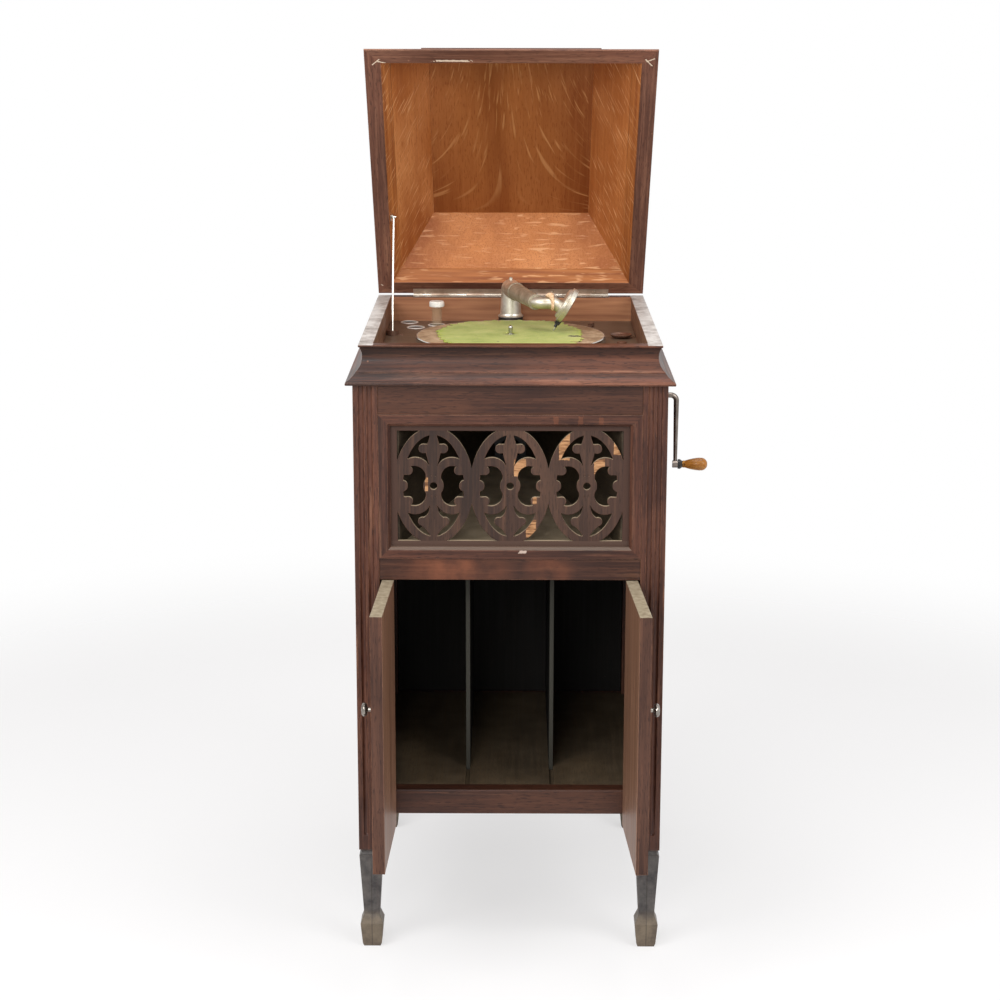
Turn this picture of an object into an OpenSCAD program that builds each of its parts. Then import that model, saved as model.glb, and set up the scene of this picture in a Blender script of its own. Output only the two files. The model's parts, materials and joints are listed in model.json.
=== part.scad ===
// Console phonograph with a deep hipped lid, a fretted horn grille and a record
// cupboard, shown with the lid and both doors open. Millimetres, +Z up. The origin
// is on the floor under the middle of the four legs; the front faces -Y.

/* [Cabinet] */
// Width over the corner posts
body_w = 470; // [420:1:564]
// Depth over the corner posts
body_d = 530; // [450:1:636]
// Height of the posts, up to the underside of the cornice
post_h = 904; // [760:1:1080]
// Side of the square corner posts
post_w = 37; // [31:0.5:44]
// Thickness of the rails between the posts
rail_t = 20; // [16:0.5:24]
// Height of the cornice that stands on the posts
cornice_h = 58; // [50:1:66]
// Height of the groove between a post and its leg
leg_groove_z = 160; // [130:1:190]
// Width of a spade foot at its widest
foot_w = 36; // [30:0.5:37]
// Width of a leg just above the spade foot
ankle_w = 24.6; // [20:0.2:29]

/* [Front] */
// Height of the opening that holds the grille
grille_h = 222.5; // [190:0.5:260]
// Height of the rail above the doors
middle_rail_h = 33; // [26:0.5:40]
// Height of the rail under the cornice
top_rail_h = 45; // [36:0.5:54]
// Bottom edge of the doors
door_bottom_z = 206; // [190:1:240]
// Thickness of the doors
door_t = 18; // [15:0.5:21]
// Face width of the mitred grille frame
frame_w = 18; // [15:0.5:21]
// Thickness of the fretwork board
fret_t = 6; // [5:0.5:7.5]
// Angle at which the left door stands open
door_left_open = 92; // [0:1:115]
// Angle at which the right door stands open
door_right_open = 93; // [0:1:115]

/* [Lid] */
// Angle at which the lid stands open
lid_open = 53.5; // [0:0.5:53.5]
// Depth inside the lid, from its rim to its top panel
lid_depth = 100; // [84:1:120]
// How far each lid wall leans in on its way up
lid_lean = 70; // [58:1:84]
// Width of the lid's rim face
lid_rim_w = 25; // [21:0.5:30]
// Thickness of the lid's sloping walls and top
lid_wall_t = 10; // [8:0.5:12]

/* [Turntable and tonearm] */
// Radius of the turntable
platter_r = 152.4; // [127:0.1:160]
// Depth of the motor board's top below the rim of the well
well_depth = 41; // [34:1:46]
// Height of the tonearm above the motor board
arm_height = 60.5; // [50:0.5:66]
// Radius of the sound box
box_r = 29.5; // [25:0.5:34]

/* [Crank] */
// Length of the crank from its axis to the grip
crank_throw = 114; // [96:1:136]
// Largest diameter of the wooden grip
grip_d = 21; // [17:0.5:25]

/* [Hidden] */
$fn = 48;
half_w = body_w / 2;
half_d = body_d / 2;
front_y = -half_d;
back_y = half_d;
bay_half = half_w - post_w;
rim_z = post_h + cornice_h;
board_z = rim_z - well_depth;
board_bottom_z = post_h;
board_t = board_z - board_bottom_z;
// Running clearance of every hinge pin and shaft, on the radius
fit = 0.05;

// Front openings
rail_inset = 1.5;
top_rail_z = post_h - top_rail_h;
middle_rail_z = top_rail_z - grille_h;
door_top_z = middle_rail_z - middle_rail_h;
bottom_rail_inset = 25;
bottom_rail_t = 24;
floor_z = door_bottom_z + 49.5;
bottom_rail_z = door_bottom_z + 10;
floor_t = 12;
shelf_t = 12;
lower_rail_h = 46;
panel_t = 8;
panel_inset = 6;
tongue = 6;
back_t = 6;
back_inset = 3;

// Cornice and well
cornice_inner = 30;
cornice_back_t = 23.5;
well_half = half_w - cornice_inner;
well_front_y = front_y + cornice_inner;
well_back_y = back_y - cornice_back_t;
rim_inset = 8.5;
nose_out = 10.6;

// Lid, drawn closed and then turned about its hinge
lid_gap = 0.6;
lid_z = rim_z + lid_gap;
lid_rim_h = 20;
lid_half = half_w - rim_inset;
lid_front_y = front_y + rim_inset;
lid_in_half = lid_half - lid_rim_w;
lid_in_front = lid_front_y + lid_rim_w;
lid_in_back = back_y - lid_rim_w;
hinge_r = 2.4;
hinge_leaf_t = 1.2;
hinge_leaf_w = 13;
hinge_y = back_y + hinge_r + 0.4;
hinge_z = rim_z + lid_gap / 2;
hinge_len = 334;
hinge_pin_r = 1.2;

// Lid stay
stay_x = -(well_half - 11);
stay_u = 175;
stay_n = 5;
stay_guide_y = hinge_y - 177.8;
stay_guide_h = 8;
stay_r = 1.75;
stay_pin_r = 1.5;
stay_open_pin = [
    hinge_y - stay_u * cos(lid_open_max()) + stay_n * sin(lid_open_max()),
    hinge_z + stay_u * sin(lid_open_max()) + stay_n * cos(lid_open_max())];
stay_foot = [stay_guide_y, board_z + stay_guide_h / 2];
stay_span = norm(stay_open_pin - stay_foot);
stay_lean_open = atan2(stay_open_pin[0] - stay_foot[0], stay_open_pin[1] - stay_foot[1]);
// Share of the lid's angle by which the rod leans
stay_share = 0.4175;
function lid_open_max() = 53.5;

// Doors
door_gap = 1.2;
door_h = door_top_z - 1.5 - door_bottom_z;
door_w = bay_half - door_gap * 1.5;
door_inset = 4;
butt_r = 2.6;
butt_x = bay_half - butt_r - 0.2;
butt_y = front_y + 3.2;
butt_pin_r = 1.2;
butt_h = 50;
butt_leaf_t = 1.2;
butt_leaf_w = 15;
butt_z = [door_bottom_z + 45, door_bottom_z + door_h - 45 - butt_h];
knob_z = door_bottom_z + 247;
knob_from_edge = 26;

// Turntable and its spindle
table_y = 22;
platter_h = 8;
platter_z = board_z + 4;
platter_top_z = platter_z + platter_h;
felt_t = 1.8;
felt_z = platter_top_z;
spindle_r = 3.55;
hub_r = 5;
hub_bore_r = hub_r + fit;

// Tonearm
arm_base = [0, well_back_y - 35.5];
arm_z = board_z + arm_height;
collar_r = 19;
arm_end = [40.5, 50];
arm_len = norm(arm_end - arm_base);
arm_angle = atan2(arm_end[0] - arm_base[0], arm_base[1] - arm_end[1]);
elbow_r = 14.5;
box_tilt = 31;
needle_reach = box_r + 19;
needle_lead = 2;
gooseneck_bend = 12;
box_y = arm_end[1] - gooseneck_bend * (1 - sin(arm_angle));
needle_tip = [68.2, box_y, felt_z + felt_t + 0.3];
box_centre = needle_tip + [
    needle_reach * sin(box_tilt) - needle_lead * cos(box_tilt), 0,
    needle_reach * cos(box_tilt) + needle_lead * sin(box_tilt)];
gooseneck_end_x = 66;
rubber_t = 4.5;

// Motor
plate_t = 3;
motor_top_z = board_bottom_z;
motor_h = 81;
motor_floor_z = motor_top_z - motor_h;
crank_y = 10;
crank_z = board_bottom_z - 67;
barrel_x = 62;
barrel_r = 42;
barrel_teeth = 96;
barrel_mod = 1;
mid_pinion_teeth = 12;
mid_gear_teeth = 72;
mid_mod = 0.75;
spindle_teeth = 16;
barrel_pitch_r = barrel_teeth * barrel_mod / 2;
mid_pinion_r = mid_pinion_teeth * barrel_mod / 2;
mid_gear_r = mid_gear_teeth * mid_mod / 2;
spindle_pinion_r = spindle_teeth * mid_mod / 2;
spindle_at = [0, table_y];
barrel_at = [barrel_x, crank_y];
mid_at = circles_meet(spindle_at, spindle_pinion_r + mid_gear_r, barrel_at, barrel_pitch_r + mid_pinion_r);
barrel_z = board_bottom_z - 53;
barrel_h = 44;
barrel_gear_z = barrel_z + barrel_h - 6;
mid_gear_z = motor_floor_z + plate_t + 14;
worm_z = board_bottom_z - 36;
worm_wheel_teeth = 32;
worm_wheel_r = 15;
worm_r = 4.5;
governor_x = -(worm_wheel_r + worm_r + 1.2);
crown_teeth = 24;
crown_r = 18.5;
crown_face = 5;
pinion_teeth = 12;
pinion_pitch_r = (crown_r - crown_face / 2) / 2;
crown_z = crank_z + pinion_pitch_r + 1.6;
shaft_r = 4;
winding_r = 5;

// Horn
horn_mouth_y = front_y + 15.2;
horn_mouth_half = bay_half - 22;
horn_floor_z = middle_rail_z + 16.5;
horn_ceiling_z = top_rail_z - 17;
horn_wall = 8;
horn_throat_y = 130;
horn_throat_half = 26;
horn_throat_z = horn_floor_z + 69;
neck_r = 22;
neck_bend_r = 62;
neck_y = arm_base[1];

// Point where two circles cross, on the left of the way from the first to the second
function circles_meet(p, rp, q, rq) =
    let (d = norm(q - p), a = (rp * rp - rq * rq + d * d) / (2 * d),
         h = sqrt(rp * rp - a * a), u = (q - p) / d)
    p + a * u + h * [-u[1], u[0]];

// Points of the arc from a through b to c
function arc_through(a, b, c, n) =
    let (d = 2 * (a[0] * (b[1] - c[1]) + b[0] * (c[1] - a[1]) + c[0] * (a[1] - b[1])),
         ux = ((a * a) * (b[1] - c[1]) + (b * b) * (c[1] - a[1]) + (c * c) * (a[1] - b[1])) / d,
         uy = ((a * a) * (c[0] - b[0]) + (b * b) * (a[0] - c[0]) + (c * c) * (b[0] - a[0])) / d,
         o = [ux, uy], r = norm(a - o),
         s = atan2(a[1] - uy, a[0] - ux), e = atan2(c[1] - uy, c[0] - ux),
         m = atan2(b[1] - uy, b[0] - ux),
         turn = between(s, m, e) ? mod360(e - s) : -mod360(s - e))
    [for (i = [0 : n]) o + r * [cos(s + turn * i / n), sin(s + turn * i / n)]];
function mod360(x) = x - 360 * floor(x / 360);
function between(s, m, e) = mod360(m - s) <= mod360(e - s);

// Points of an ellipse about the origin
function ellipse(a, b, n) = [for (i = [0 : n - 1]) [a * cos(360 * i / n), b * sin(360 * i / n)]];

// A solid whose outline is the same seen from the front and from the side
module both_ways(depth) {
    intersection() {
        rotate([90, 0, 0]) translate([0, 0, -depth]) linear_extrude(2 * depth) children();
        rotate([90, 0, 90]) translate([0, 0, -depth]) linear_extrude(2 * depth) children();
    }
}

// Outline of a post with its turned-in groove, tapered leg and spade foot
module post_outline() {
    h = post_w / 2;
    leg = h - 0.3;
    ankle = ankle_w / 2;
    foot = foot_w / 2;
    groove = arc_through([leg, leg_groove_z - 5], [h - 4, leg_groove_z], [h, leg_groove_z + 5], 8);
    right = concat([[foot - 5, 0], [foot - 3, 5.5], [foot, 39], [ankle, 54]], groove, [[h, post_h]]);
    polygon(concat(right, [for (i = [len(right) - 1 : -1 : 0]) [-right[i][0], right[i][1]]]));
}

// Round-bottomed flutes down one face of a post, stopped above the leg
module flutes() {
    r = 4.6;
    for (side = [-1, 1]) translate([side * post_w * 0.175, -post_w / 2 - 1.8, leg_groove_z + 33]) {
        cylinder(r = r, h = post_h);
        sphere(r = r);
    }
}

// One corner post at the given corner; its groove holds the side panel
module corner_post(sx, sy) {
    translate([sx * (half_w - post_w / 2), sy * (half_d - post_w / 2), 0]) difference() {
        both_ways(post_w) post_outline();
        if (sy < 0) flutes();
        rotate([0, 0, 90 * sx]) flutes();
        translate([sx * (post_w / 2 - panel_inset - panel_t / 2), -sy * post_w / 2, door_bottom_z])
            translate([-panel_t / 2, -tongue, 0]) cube([panel_t, 2 * tongue, post_h]);
        if (sy < 0) butt_mortises(sx);
    }
}

// Mortises for the two butt hinges in a front post, in the post's own frame
module butt_mortises(sx) {
    for (z = butt_z)
        translate([-sx * post_w / 2, 0, z])
            translate([-butt_leaf_t, butt_y - (front_y + post_w / 2) - 0.01, 0])
                cube([2 * butt_leaf_t, butt_leaf_w + 0.2, butt_h]);
}

module corner_posts() {
    color("#4a2e24") for (sx = [-1, 1]) for (sy = [-1, 1]) corner_post(sx, sy);
}

// One side panel, held by its edges in the posts and rails
module side_panel(sx) {
    length = body_d - 2 * post_w + 2 * tongue;
    translate([sx * (half_w - panel_inset - panel_t / 2), 0, door_bottom_z + lower_rail_h - tongue])
        translate([-panel_t / 2, -length / 2, 0])
            cube([panel_t, length, top_rail_z - door_bottom_z - lower_rail_h + 2 * tongue]);
}

module side_panel_left() {
    color("#553328") side_panel(-1);
}

module side_panel_right() {
    color("#553328") difference() {
        side_panel(1);
        translate([half_w, crank_y, crank_z]) rotate([0, 90, 0]) cylinder(r = winding_r + 3, h = 60, center = true);
    }
}

module back_panel() {
    color("#5b3a2a") translate([-bay_half, back_y - back_inset - back_t, door_bottom_z])
        cube([2 * bay_half, back_t, post_h - door_bottom_z]);
}

// Rails round the sides and the back, and the battens that carry the motor board
module frame_rails() {
    side_len = body_d - 2 * post_w;
    rear_y = back_y - back_inset - back_t - rail_t;
    color("#4f3125") {
        for (sx = [-1, 1]) for (low = [true, false]) difference() {
            z = low ? door_bottom_z : top_rail_z;
            h = low ? lower_rail_h : top_rail_h;
            x = sx > 0 ? half_w - rail_inset - rail_t : -half_w + rail_inset;
            translate([x, -side_len / 2, z]) cube([rail_t, side_len, h]);
            translate([sx * (half_w - panel_inset - panel_t / 2) - panel_t / 2, -side_len / 2 - 1,
                low ? z + h - tongue : z - tongue])
                cube([panel_t, side_len + 2, 2 * tongue]);
        }
        for (z = [door_bottom_z, top_rail_z])
            translate([-bay_half, rear_y, z])
                cube([2 * bay_half, rail_t, z < top_rail_z ? lower_rail_h : top_rail_h]);
        translate([-bay_half, front_y + rail_inset + rail_t, board_bottom_z - 18])
            cube([2 * bay_half, rail_t, 18]);
        for (x = [-bay_half, neck_r + 8]) translate([x, rear_y - rail_t, board_bottom_z - 18])
            cube([bay_half - neck_r - 8, rail_t, 18]);
    }
}

// Rails across the front: under the cornice, above the doors and behind the doors' feet
module front_rails() {
    color("#4c2b20") {
        translate([-bay_half, front_y + rail_inset, top_rail_z]) cube([2 * bay_half, rail_t, top_rail_h]);
        translate([-bay_half, front_y + rail_inset, door_top_z]) cube([2 * bay_half, rail_t, middle_rail_h]);
        translate([-bay_half, front_y + bottom_rail_inset, bottom_rail_z])
            bottom_rail_bar();
    }
}

// Bottom rail with a rounded front arris, the floor rebated behind it
module bottom_rail_bar() {
    h = floor_z - bottom_rail_z;
    r = 3;
    outline = concat([[0, 0], [bottom_rail_t, 0], [bottom_rail_t, h - floor_t], [bottom_rail_t, h]],
        [for (a = [90 : 15 : 180]) [r + r * cos(a), h - r + r * sin(a)]]);
    rotate([90, 0, 90]) linear_extrude(2 * bay_half) polygon(outline);
}

// Members of a rectangular frame with mitred corners. The child outline has its x axis
// pointing outward from the rectangle half_x by [y0, y1] and its y axis pointing up.
module mitred_member(side, half_x, y0, y1) {
    reach = 200;
    mid = (y0 + y1) / 2;
    half_y = (y1 - y0) / 2;
    turn = side == "front" ? 0 : side == "right" ? 90 : side == "back" ? 180 : 270;
    along = side == "front" || side == "back" ? half_x : half_y;
    out = side == "front" || side == "back" ? half_y : half_x;
    translate([0, mid, 0]) rotate([0, 0, turn]) intersection() {
        translate([-along - reach, -out, 0]) rotate([90, 0, 90]) mirror([1, 0, 0])
            linear_extrude(2 * (along + reach)) children();
        translate([0, 0, -1000]) linear_extrude(4000)
            polygon([[-along + out, 0], [along - out, 0], [along + reach, -out - reach],
                [-along - reach, -out - reach]]);
    }
}

// Cornice outline: outward from the body's face, above the top of the posts
function cornice_points() = concat(
    [[-cornice_inner, 0], [nose_out - 2, 0], [nose_out - 0.3, 0.5], [nose_out, 3.2], [nose_out - 1, 4.4],
        [nose_out - 1.3, 5.2]],
    arc_through([nose_out - 2.6, 5.9], [2, 10.2], [-3.4, 16.2], 6),
    [[-4.4, 16.6], [-4.4, 18.4]],
    arc_through([-5.3, 18.8], [-14.2, 37.4], [-10.6, cornice_h - 3.6], 12),
    [[-9, cornice_h - 3.2], [-rim_inset, cornice_h - 2.6], [-rim_inset, cornice_h],
        [-cornice_inner, cornice_h]]);

// Moulded boards round the front and sides, and a plain board across the back
module cornice() {
    color("#4a2b21") {
        translate([0, 0, post_h]) {
            mitred_member("front", half_w, front_y, back_y) polygon(cornice_points());
            intersection() {
                union() {
                    mitred_member("left", half_w, front_y, back_y + 300) polygon(cornice_points());
                    mitred_member("right", half_w, front_y, back_y + 300) polygon(cornice_points());
                }
                translate([-body_w, -body_d, -1]) cube([2 * body_w, body_d + back_y, cornice_h + 2]);
            }
            translate([-well_half, well_back_y, 0])
                cube([2 * well_half, cornice_back_t, cornice_h - hinge_leaf_t]);
            for (sx = [-1, 1])
                translate([sx > 0 ? hinge_len / 2 : -well_half, well_back_y, 0])
                    cube([well_half - hinge_len / 2, cornice_back_t, cornice_h]);
        }
    }
}

// Frame of four mitred members with a bevelled inner edge, rebated for the fretwork board
module grille_frame() {
    proud = 2.5;
    depth = 18;
    outline = [[0, 0], [0, depth], [-frame_w + 10, depth], [-frame_w + 10, depth - fret_t - 2],
        [-frame_w, depth - fret_t - 2], [-frame_w, 4.5], [-frame_w + 3.5, 0.8], [-frame_w + 4, 0]];
    color("#563226") translate([0, front_y + rail_inset - proud, 0]) rotate([-90, 0, 0])
        for (side = ["front", "right", "back", "left"])
            mitred_member(side, bay_half, -top_rail_z, -middle_rail_z) polygon(outline);
}

// Fretwork: three linked ovals filled with scrolled arms and trefoil buds
fret_open_half = bay_half - 28;
fret_mid_z = (top_rail_z + middle_rail_z) / 2;
fret_open_h = top_rail_z - middle_rail_z - 52.5;
fret_k = [fret_open_half / 170, fret_open_h / 170];
oval_pitch = 115.5;
oval_a = 60.5;
oval_b = 90;
oval_in_a = 46;
oval_in_b = 78.5;

// Right half of a bud above the ring, pointed upwards
module upper_bud() {
    polygon(concat([[0, 8], [4.4, 20], [4.8, 26], [6.6, 34], [8.6, 41], [10.6, 48.6], [11.2, 56]],
        arc_through([9.2, 63.5], [7, 70], [5, 79], 6), [[0, 80]]));
    translate([15.2, 57.4]) circle(r = 7, $fn = 28);
    translate([8, 50.7]) square([7.4, 13.4]);
}

// Right half of a bud below the ring, drawn upwards and spread wider at its foot
module lower_bud() {
    polygon(concat([[0, 8], [4.2, 20], [4.6, 26], [6, 34]], arc_through([7.4, 39.4], [10, 44.8], [14.6, 49], 5),
        [[19.4, 61]], arc_through([16, 64], [9.6, 70.4], [4.6, 79], 5), [[0, 80]]));
    translate([17.4, 55.2]) circle(r = 6.5, $fn = 28);
    translate([10, 48.9]) square([7.5, 12.2]);
}

// One scrolled arm and half of the knob on the oval's side; it is mirrored twice
module fret_arm() {
    intersection() {
        difference() {
            translate([27.6, 19.6]) circle(r = 24.4, $fn = 64);
            translate([28.5, 13.9]) circle(r = 17, $fn = 48);
        }
        translate([0, 5]) square([42, 60]);
    }
    translate([37.8, 23.6]) circle(r = 6.7, $fn = 28);
    translate([37.6, 17.1]) square([9, 19]);
    translate([47.5, 0]) intersection() {
        circle(r = 8.8, $fn = 28);
        translate([-10, -1]) square([12, 12]);
    }
}

module fret_oval() {
    difference() {
        union() {
            difference() {
                polygon(ellipse(oval_a, oval_b, 96));
                polygon(ellipse(oval_in_a, oval_in_b, 88));
            }
            intersection() {
                polygon(ellipse(oval_in_a + 2, oval_in_b + 2, 88));
                union() {
                    for (mx = [0, 1]) mirror([mx, 0]) {
                        upper_bud();
                        mirror([0, 1]) lower_bud();
                        for (my = [0, 1]) mirror([0, my]) fret_arm();
                    }
                    circle(r = 15.4, $fn = 48);
                }
            }
        }
        circle(r = 5.7, $fn = 32);
    }
}

module fretwork_grille() {
    board_half = bay_half - frame_w + 10 - 8.2;
    board_h = top_rail_z - middle_rail_z - 2 * (frame_w - 10) - 0.4;
    half = bay_half - (frame_w - 10) - 0.2;
    color("#5a3a2e") translate([0, front_y + rail_inset - 2.5 + 18 - fret_t - 2, fret_mid_z])
        rotate([90, 0, 0]) translate([0, 0, -fret_t]) linear_extrude(fret_t) {
            difference() {
                square([2 * half, board_h], center = true);
                square([2 * fret_open_half, fret_open_h], center = true);
            }
            intersection() {
                square([2 * fret_open_half + 1, fret_open_h + 1], center = true);
                scale([fret_k[0], fret_k[1]]) for (i = [-1 : 1]) translate([i * oval_pitch, 0]) fret_oval();
            }
        }
}

// Board above the records; the horn lies on it
module horn_shelf() {
    side = half_w - rail_inset - rail_t;
    color("#6b4a32") difference() {
        translate([-side, front_y + rail_inset + rail_t, door_top_z + 6])
            cube([2 * side, body_d - rail_inset - 2 * rail_t - back_t - back_inset, shelf_t]);
        corner_clearance(door_top_z);
    }
}

// Floor of the record cupboard, with open grooves for the dividers
module record_floor() {
    side = half_w - rail_inset - rail_t;
    y0 = front_y + bottom_rail_inset + bottom_rail_t;
    color("#6b4a32") difference() {
        translate([-side, y0, floor_z - floor_t])
            cube([2 * side, back_y - back_inset - back_t - rail_t - y0, floor_t]);
        corner_clearance(door_bottom_z);
        for (sx = [-1, 1]) translate([sx * divider_x - divider_t / 2, y0 - 1, floor_z - 5])
            cube([divider_t, body_d, 6]);
    }
}

// Notches that the corner posts leave in a board
module corner_clearance(z) {
    for (sx = [-1, 1]) for (sy = [-1, 1])
        translate([sx * (half_w - post_w / 2), sy * (half_d - post_w / 2), z])
            translate([-post_w / 2, -post_w / 2, 0]) cube([post_w, post_w, 80]);
}

divider_t = 6.6;
divider_x = 66.5;
divider_front_y = front_y + 128;

// Two upright boards that part the records into three bays
module record_dividers() {
    back = back_y - back_inset - back_t - rail_t;
    color("#4a3426") for (sx = [-1, 1])
        translate([sx * divider_x - divider_t / 2, divider_front_y, floor_z - 5])
            cube([divider_t, back - divider_front_y, door_top_z + 6 - floor_z + 5]);
}

// Motor board that closes the well, with holes for the spindle, tonearm, cups and stay
module motor_board() {
    color("#4e3327") difference() {
        translate([-well_half + 0.3, well_front_y + 0.3, board_bottom_z])
            cube([2 * well_half - 0.6, well_back_y - well_front_y - 0.6, board_t]);
        translate([0, table_y, board_bottom_z - 1]) cylinder(r = 9, h = board_t + 2);
        translate([arm_base[0], arm_base[1], board_bottom_z - 1]) cylinder(r = neck_r - 5, h = board_t + 2);
        for (p = cup_places) translate([p[0], p[1], board_z - cup_depth]) cylinder(r = cup_r, h = cup_depth + 1);
        stay_slot(board_bottom_z - 1, board_t + 2, 19, 9.5, -3.2);
        translate([brake_at[0], brake_at[1], board_z - 6]) cylinder(r = 2.5 + fit, h = 7);
        translate([regulator_at[0], regulator_at[1], board_bottom_z - 1]) cylinder(r = 3 + fit, h = board_t + 2);
    }
}

// Slot with round ends, long in y, at the lid stay
module stay_slot(z, h, length, width, shift) {
    translate([stay_x, stay_foot[0] + shift, z]) {
        for (s = [-1, 1]) translate([0, s * (length - width) / 2, 0]) cylinder(r = width / 2, h = h);
        translate([-width / 2, -(length - width) / 2, 0]) cube([width, length - width, h]);
    }
}

// Everything fixed to the lid is drawn with the lid shut and turned open here
module with_lid() {
    translate([0, hinge_y, hinge_z]) rotate([-lid_open, 0, 0]) translate([0, -hinge_y, -hinge_z]) children();
}

lid_slope = lid_lean / lid_depth;
lid_wall_out = lid_wall_t * sqrt(1 + lid_slope * lid_slope);

module lid_rim() {
    inner = [[-lid_rim_w, 0], [-lid_rim_w - lid_rim_h * lid_slope, lid_rim_h]];
    outer = concat([[0, 0], [0, 3]],
        arc_through([-1.4, 4], [-10.4, 10.8], [-17, lid_rim_h], 6));
    color("#4d2d22") with_lid() difference() {
        union() for (side = ["front", "right", "back", "left"])
            translate([0, 0, lid_z]) mitred_member(side, lid_half, lid_front_y, back_y)
                polygon(concat([inner[0]], outer, [inner[1]]));
        translate([-hinge_len / 2, hinge_y - hinge_leaf_w, lid_z - 1])
            cube([hinge_len, hinge_leaf_w + 5, hinge_leaf_t + 1]);
    }
}

// Four sloping boards mitred along the hips
module lid_walls() {
    z0 = lid_rim_h;
    x0 = -lid_rim_w - z0 * lid_slope;
    x1 = -lid_rim_w - lid_depth * lid_slope;
    color("#8a5a30") with_lid() translate([0, 0, lid_z])
        for (side = ["front", "right", "back", "left"])
            mitred_member(side, lid_half, lid_front_y, back_y)
                polygon([[x0, z0], [x0 + lid_wall_out, z0], [x1 + lid_wall_out, lid_depth], [x1, lid_depth]]);
}

module lid_top_panel() {
    out = lid_rim_w + lid_depth * lid_slope - lid_wall_out;
    color("#7a4a2a") with_lid() translate([-lid_half + out, lid_front_y + out, lid_z + lid_depth])
        cube([2 * (lid_half - out), back_y - lid_front_y - 2 * out, lid_wall_t]);
}

knuckles = 11;

// Knuckles of the long lid hinge, every second one
module lid_knuckles(first) {
    step = hinge_len / knuckles;
    for (i = [first : 2 : knuckles - 1])
        translate([-hinge_len / 2 + i * step + 0.2, hinge_y, hinge_z]) rotate([0, 90, 0])
            cylinder(r = hinge_r, h = step - 0.4);
}

module lid_pin_bore() {
    translate([-hinge_len, hinge_y, hinge_z]) rotate([0, 90, 0]) cylinder(r = hinge_pin_r + fit, h = 2 * hinge_len);
}

// Room that the other leaf's knuckles take from a leaf's edge
module knuckle_room(first) {
    step = hinge_len / knuckles;
    for (i = [first : 2 : knuckles - 1])
        translate([-hinge_len / 2 + i * step - 0.2, hinge_y, hinge_z]) rotate([0, 90, 0])
            cylinder(r = hinge_r + 0.4, h = step + 0.4);
}

// Hinge leaves on the cabinet: the long one on the back board and the four on the posts
module fixed_hinge_leaves() {
    color("#a8a39a") {
        difference() {
            union() {
                translate([-hinge_len / 2, hinge_y - hinge_leaf_w, rim_z - hinge_leaf_t])
                    cube([hinge_len, hinge_leaf_w, hinge_leaf_t]);
                lid_knuckles(0);
            }
            lid_pin_bore();
            knuckle_room(1);
        }
        for (sx = [-1, 1]) for (z = butt_z) difference() {
            union() {
                translate([sx * bay_half - (sx < 0 ? butt_leaf_t : 0), butt_y, z])
                    cube([butt_leaf_t, butt_leaf_w, butt_h]);
                for (i = [0, 2, 4]) butt_knuckle(sx, z, i);
                for (i = [0, 2, 4]) butt_web(sx, z, i, 1);
            }
            butt_bore(sx, z);
        }
    }
}

// One of the five knuckles of a butt hinge
module butt_knuckle(sx, z, i) {
    step = butt_h / 5;
    translate([sx * butt_x, butt_y, z + i * step + 0.15]) cylinder(r = butt_r, h = step - 0.3);
}

// Strip that ties a knuckle to its leaf, outward to the post or inward to the door
module butt_web(sx, z, i, to_post) {
    step = butt_h / 5;
    reach = bay_half - butt_x + 0.2;
    translate([sx * butt_x + (sx > 0 ? 0 : -reach), butt_y, z + i * step + 0.15])
        cube([reach, butt_leaf_t, step - 0.3]);
}

module butt_bore(sx, z) {
    translate([sx * butt_x, butt_y, z - 1]) cylinder(r = butt_pin_r + fit, h = butt_h + 2);
}

module lid_hinge_leaf() {
    color("#b2ada3") with_lid() difference() {
        union() {
            translate([-hinge_len / 2, hinge_y - hinge_leaf_w, lid_z])
                cube([hinge_len, hinge_leaf_w, hinge_leaf_t]);
            lid_knuckles(1);
        }
        lid_pin_bore();
        knuckle_room(0);
    }
}

module hinge_pins() {
    color("#8f8a80") {
        translate([-hinge_len / 2, hinge_y, hinge_z]) rotate([0, 90, 0]) cylinder(r = hinge_pin_r, h = hinge_len);
        for (sx = [-1, 1]) for (z = butt_z)
            translate([sx * butt_x, butt_y, z]) cylinder(r = butt_pin_r, h = butt_h);
    }
}

// Lid stay: the rod hangs from the lid and slides through the guide on the motor board
module stay_rod() {
    length = stay_span + 13;
    color("#c9c6bf") translate([stay_x, stay_open_pin[0], stay_open_pin[1]])
        rotate([180 - stay_lean_open, 0, 0]) difference() {
            union() {
                cylinder(r = stay_r, h = length);
                rotate([0, 90, 0]) cylinder(r = 3.6, h = 3, center = true);
                translate([0, 0, length - 3]) cylinder(r = 3.4, h = 3);
            }
            rotate([0, 90, 0]) cylinder(r = stay_pin_r + fit, h = 10, center = true);
        }
}

module stay_guide() {
    color("#2b2320") difference() {
        union() {
            translate([stay_x, stay_foot[0], board_z]) cylinder(r = 10, h = stay_guide_h);
            translate([stay_x + 6, stay_foot[0] - 4, board_z]) cube([11, 8, 2]);
        }
        stay_slot(board_z - 1, stay_guide_h + 2, 11.6, 5.2, -0.6);
    }
}

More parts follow.
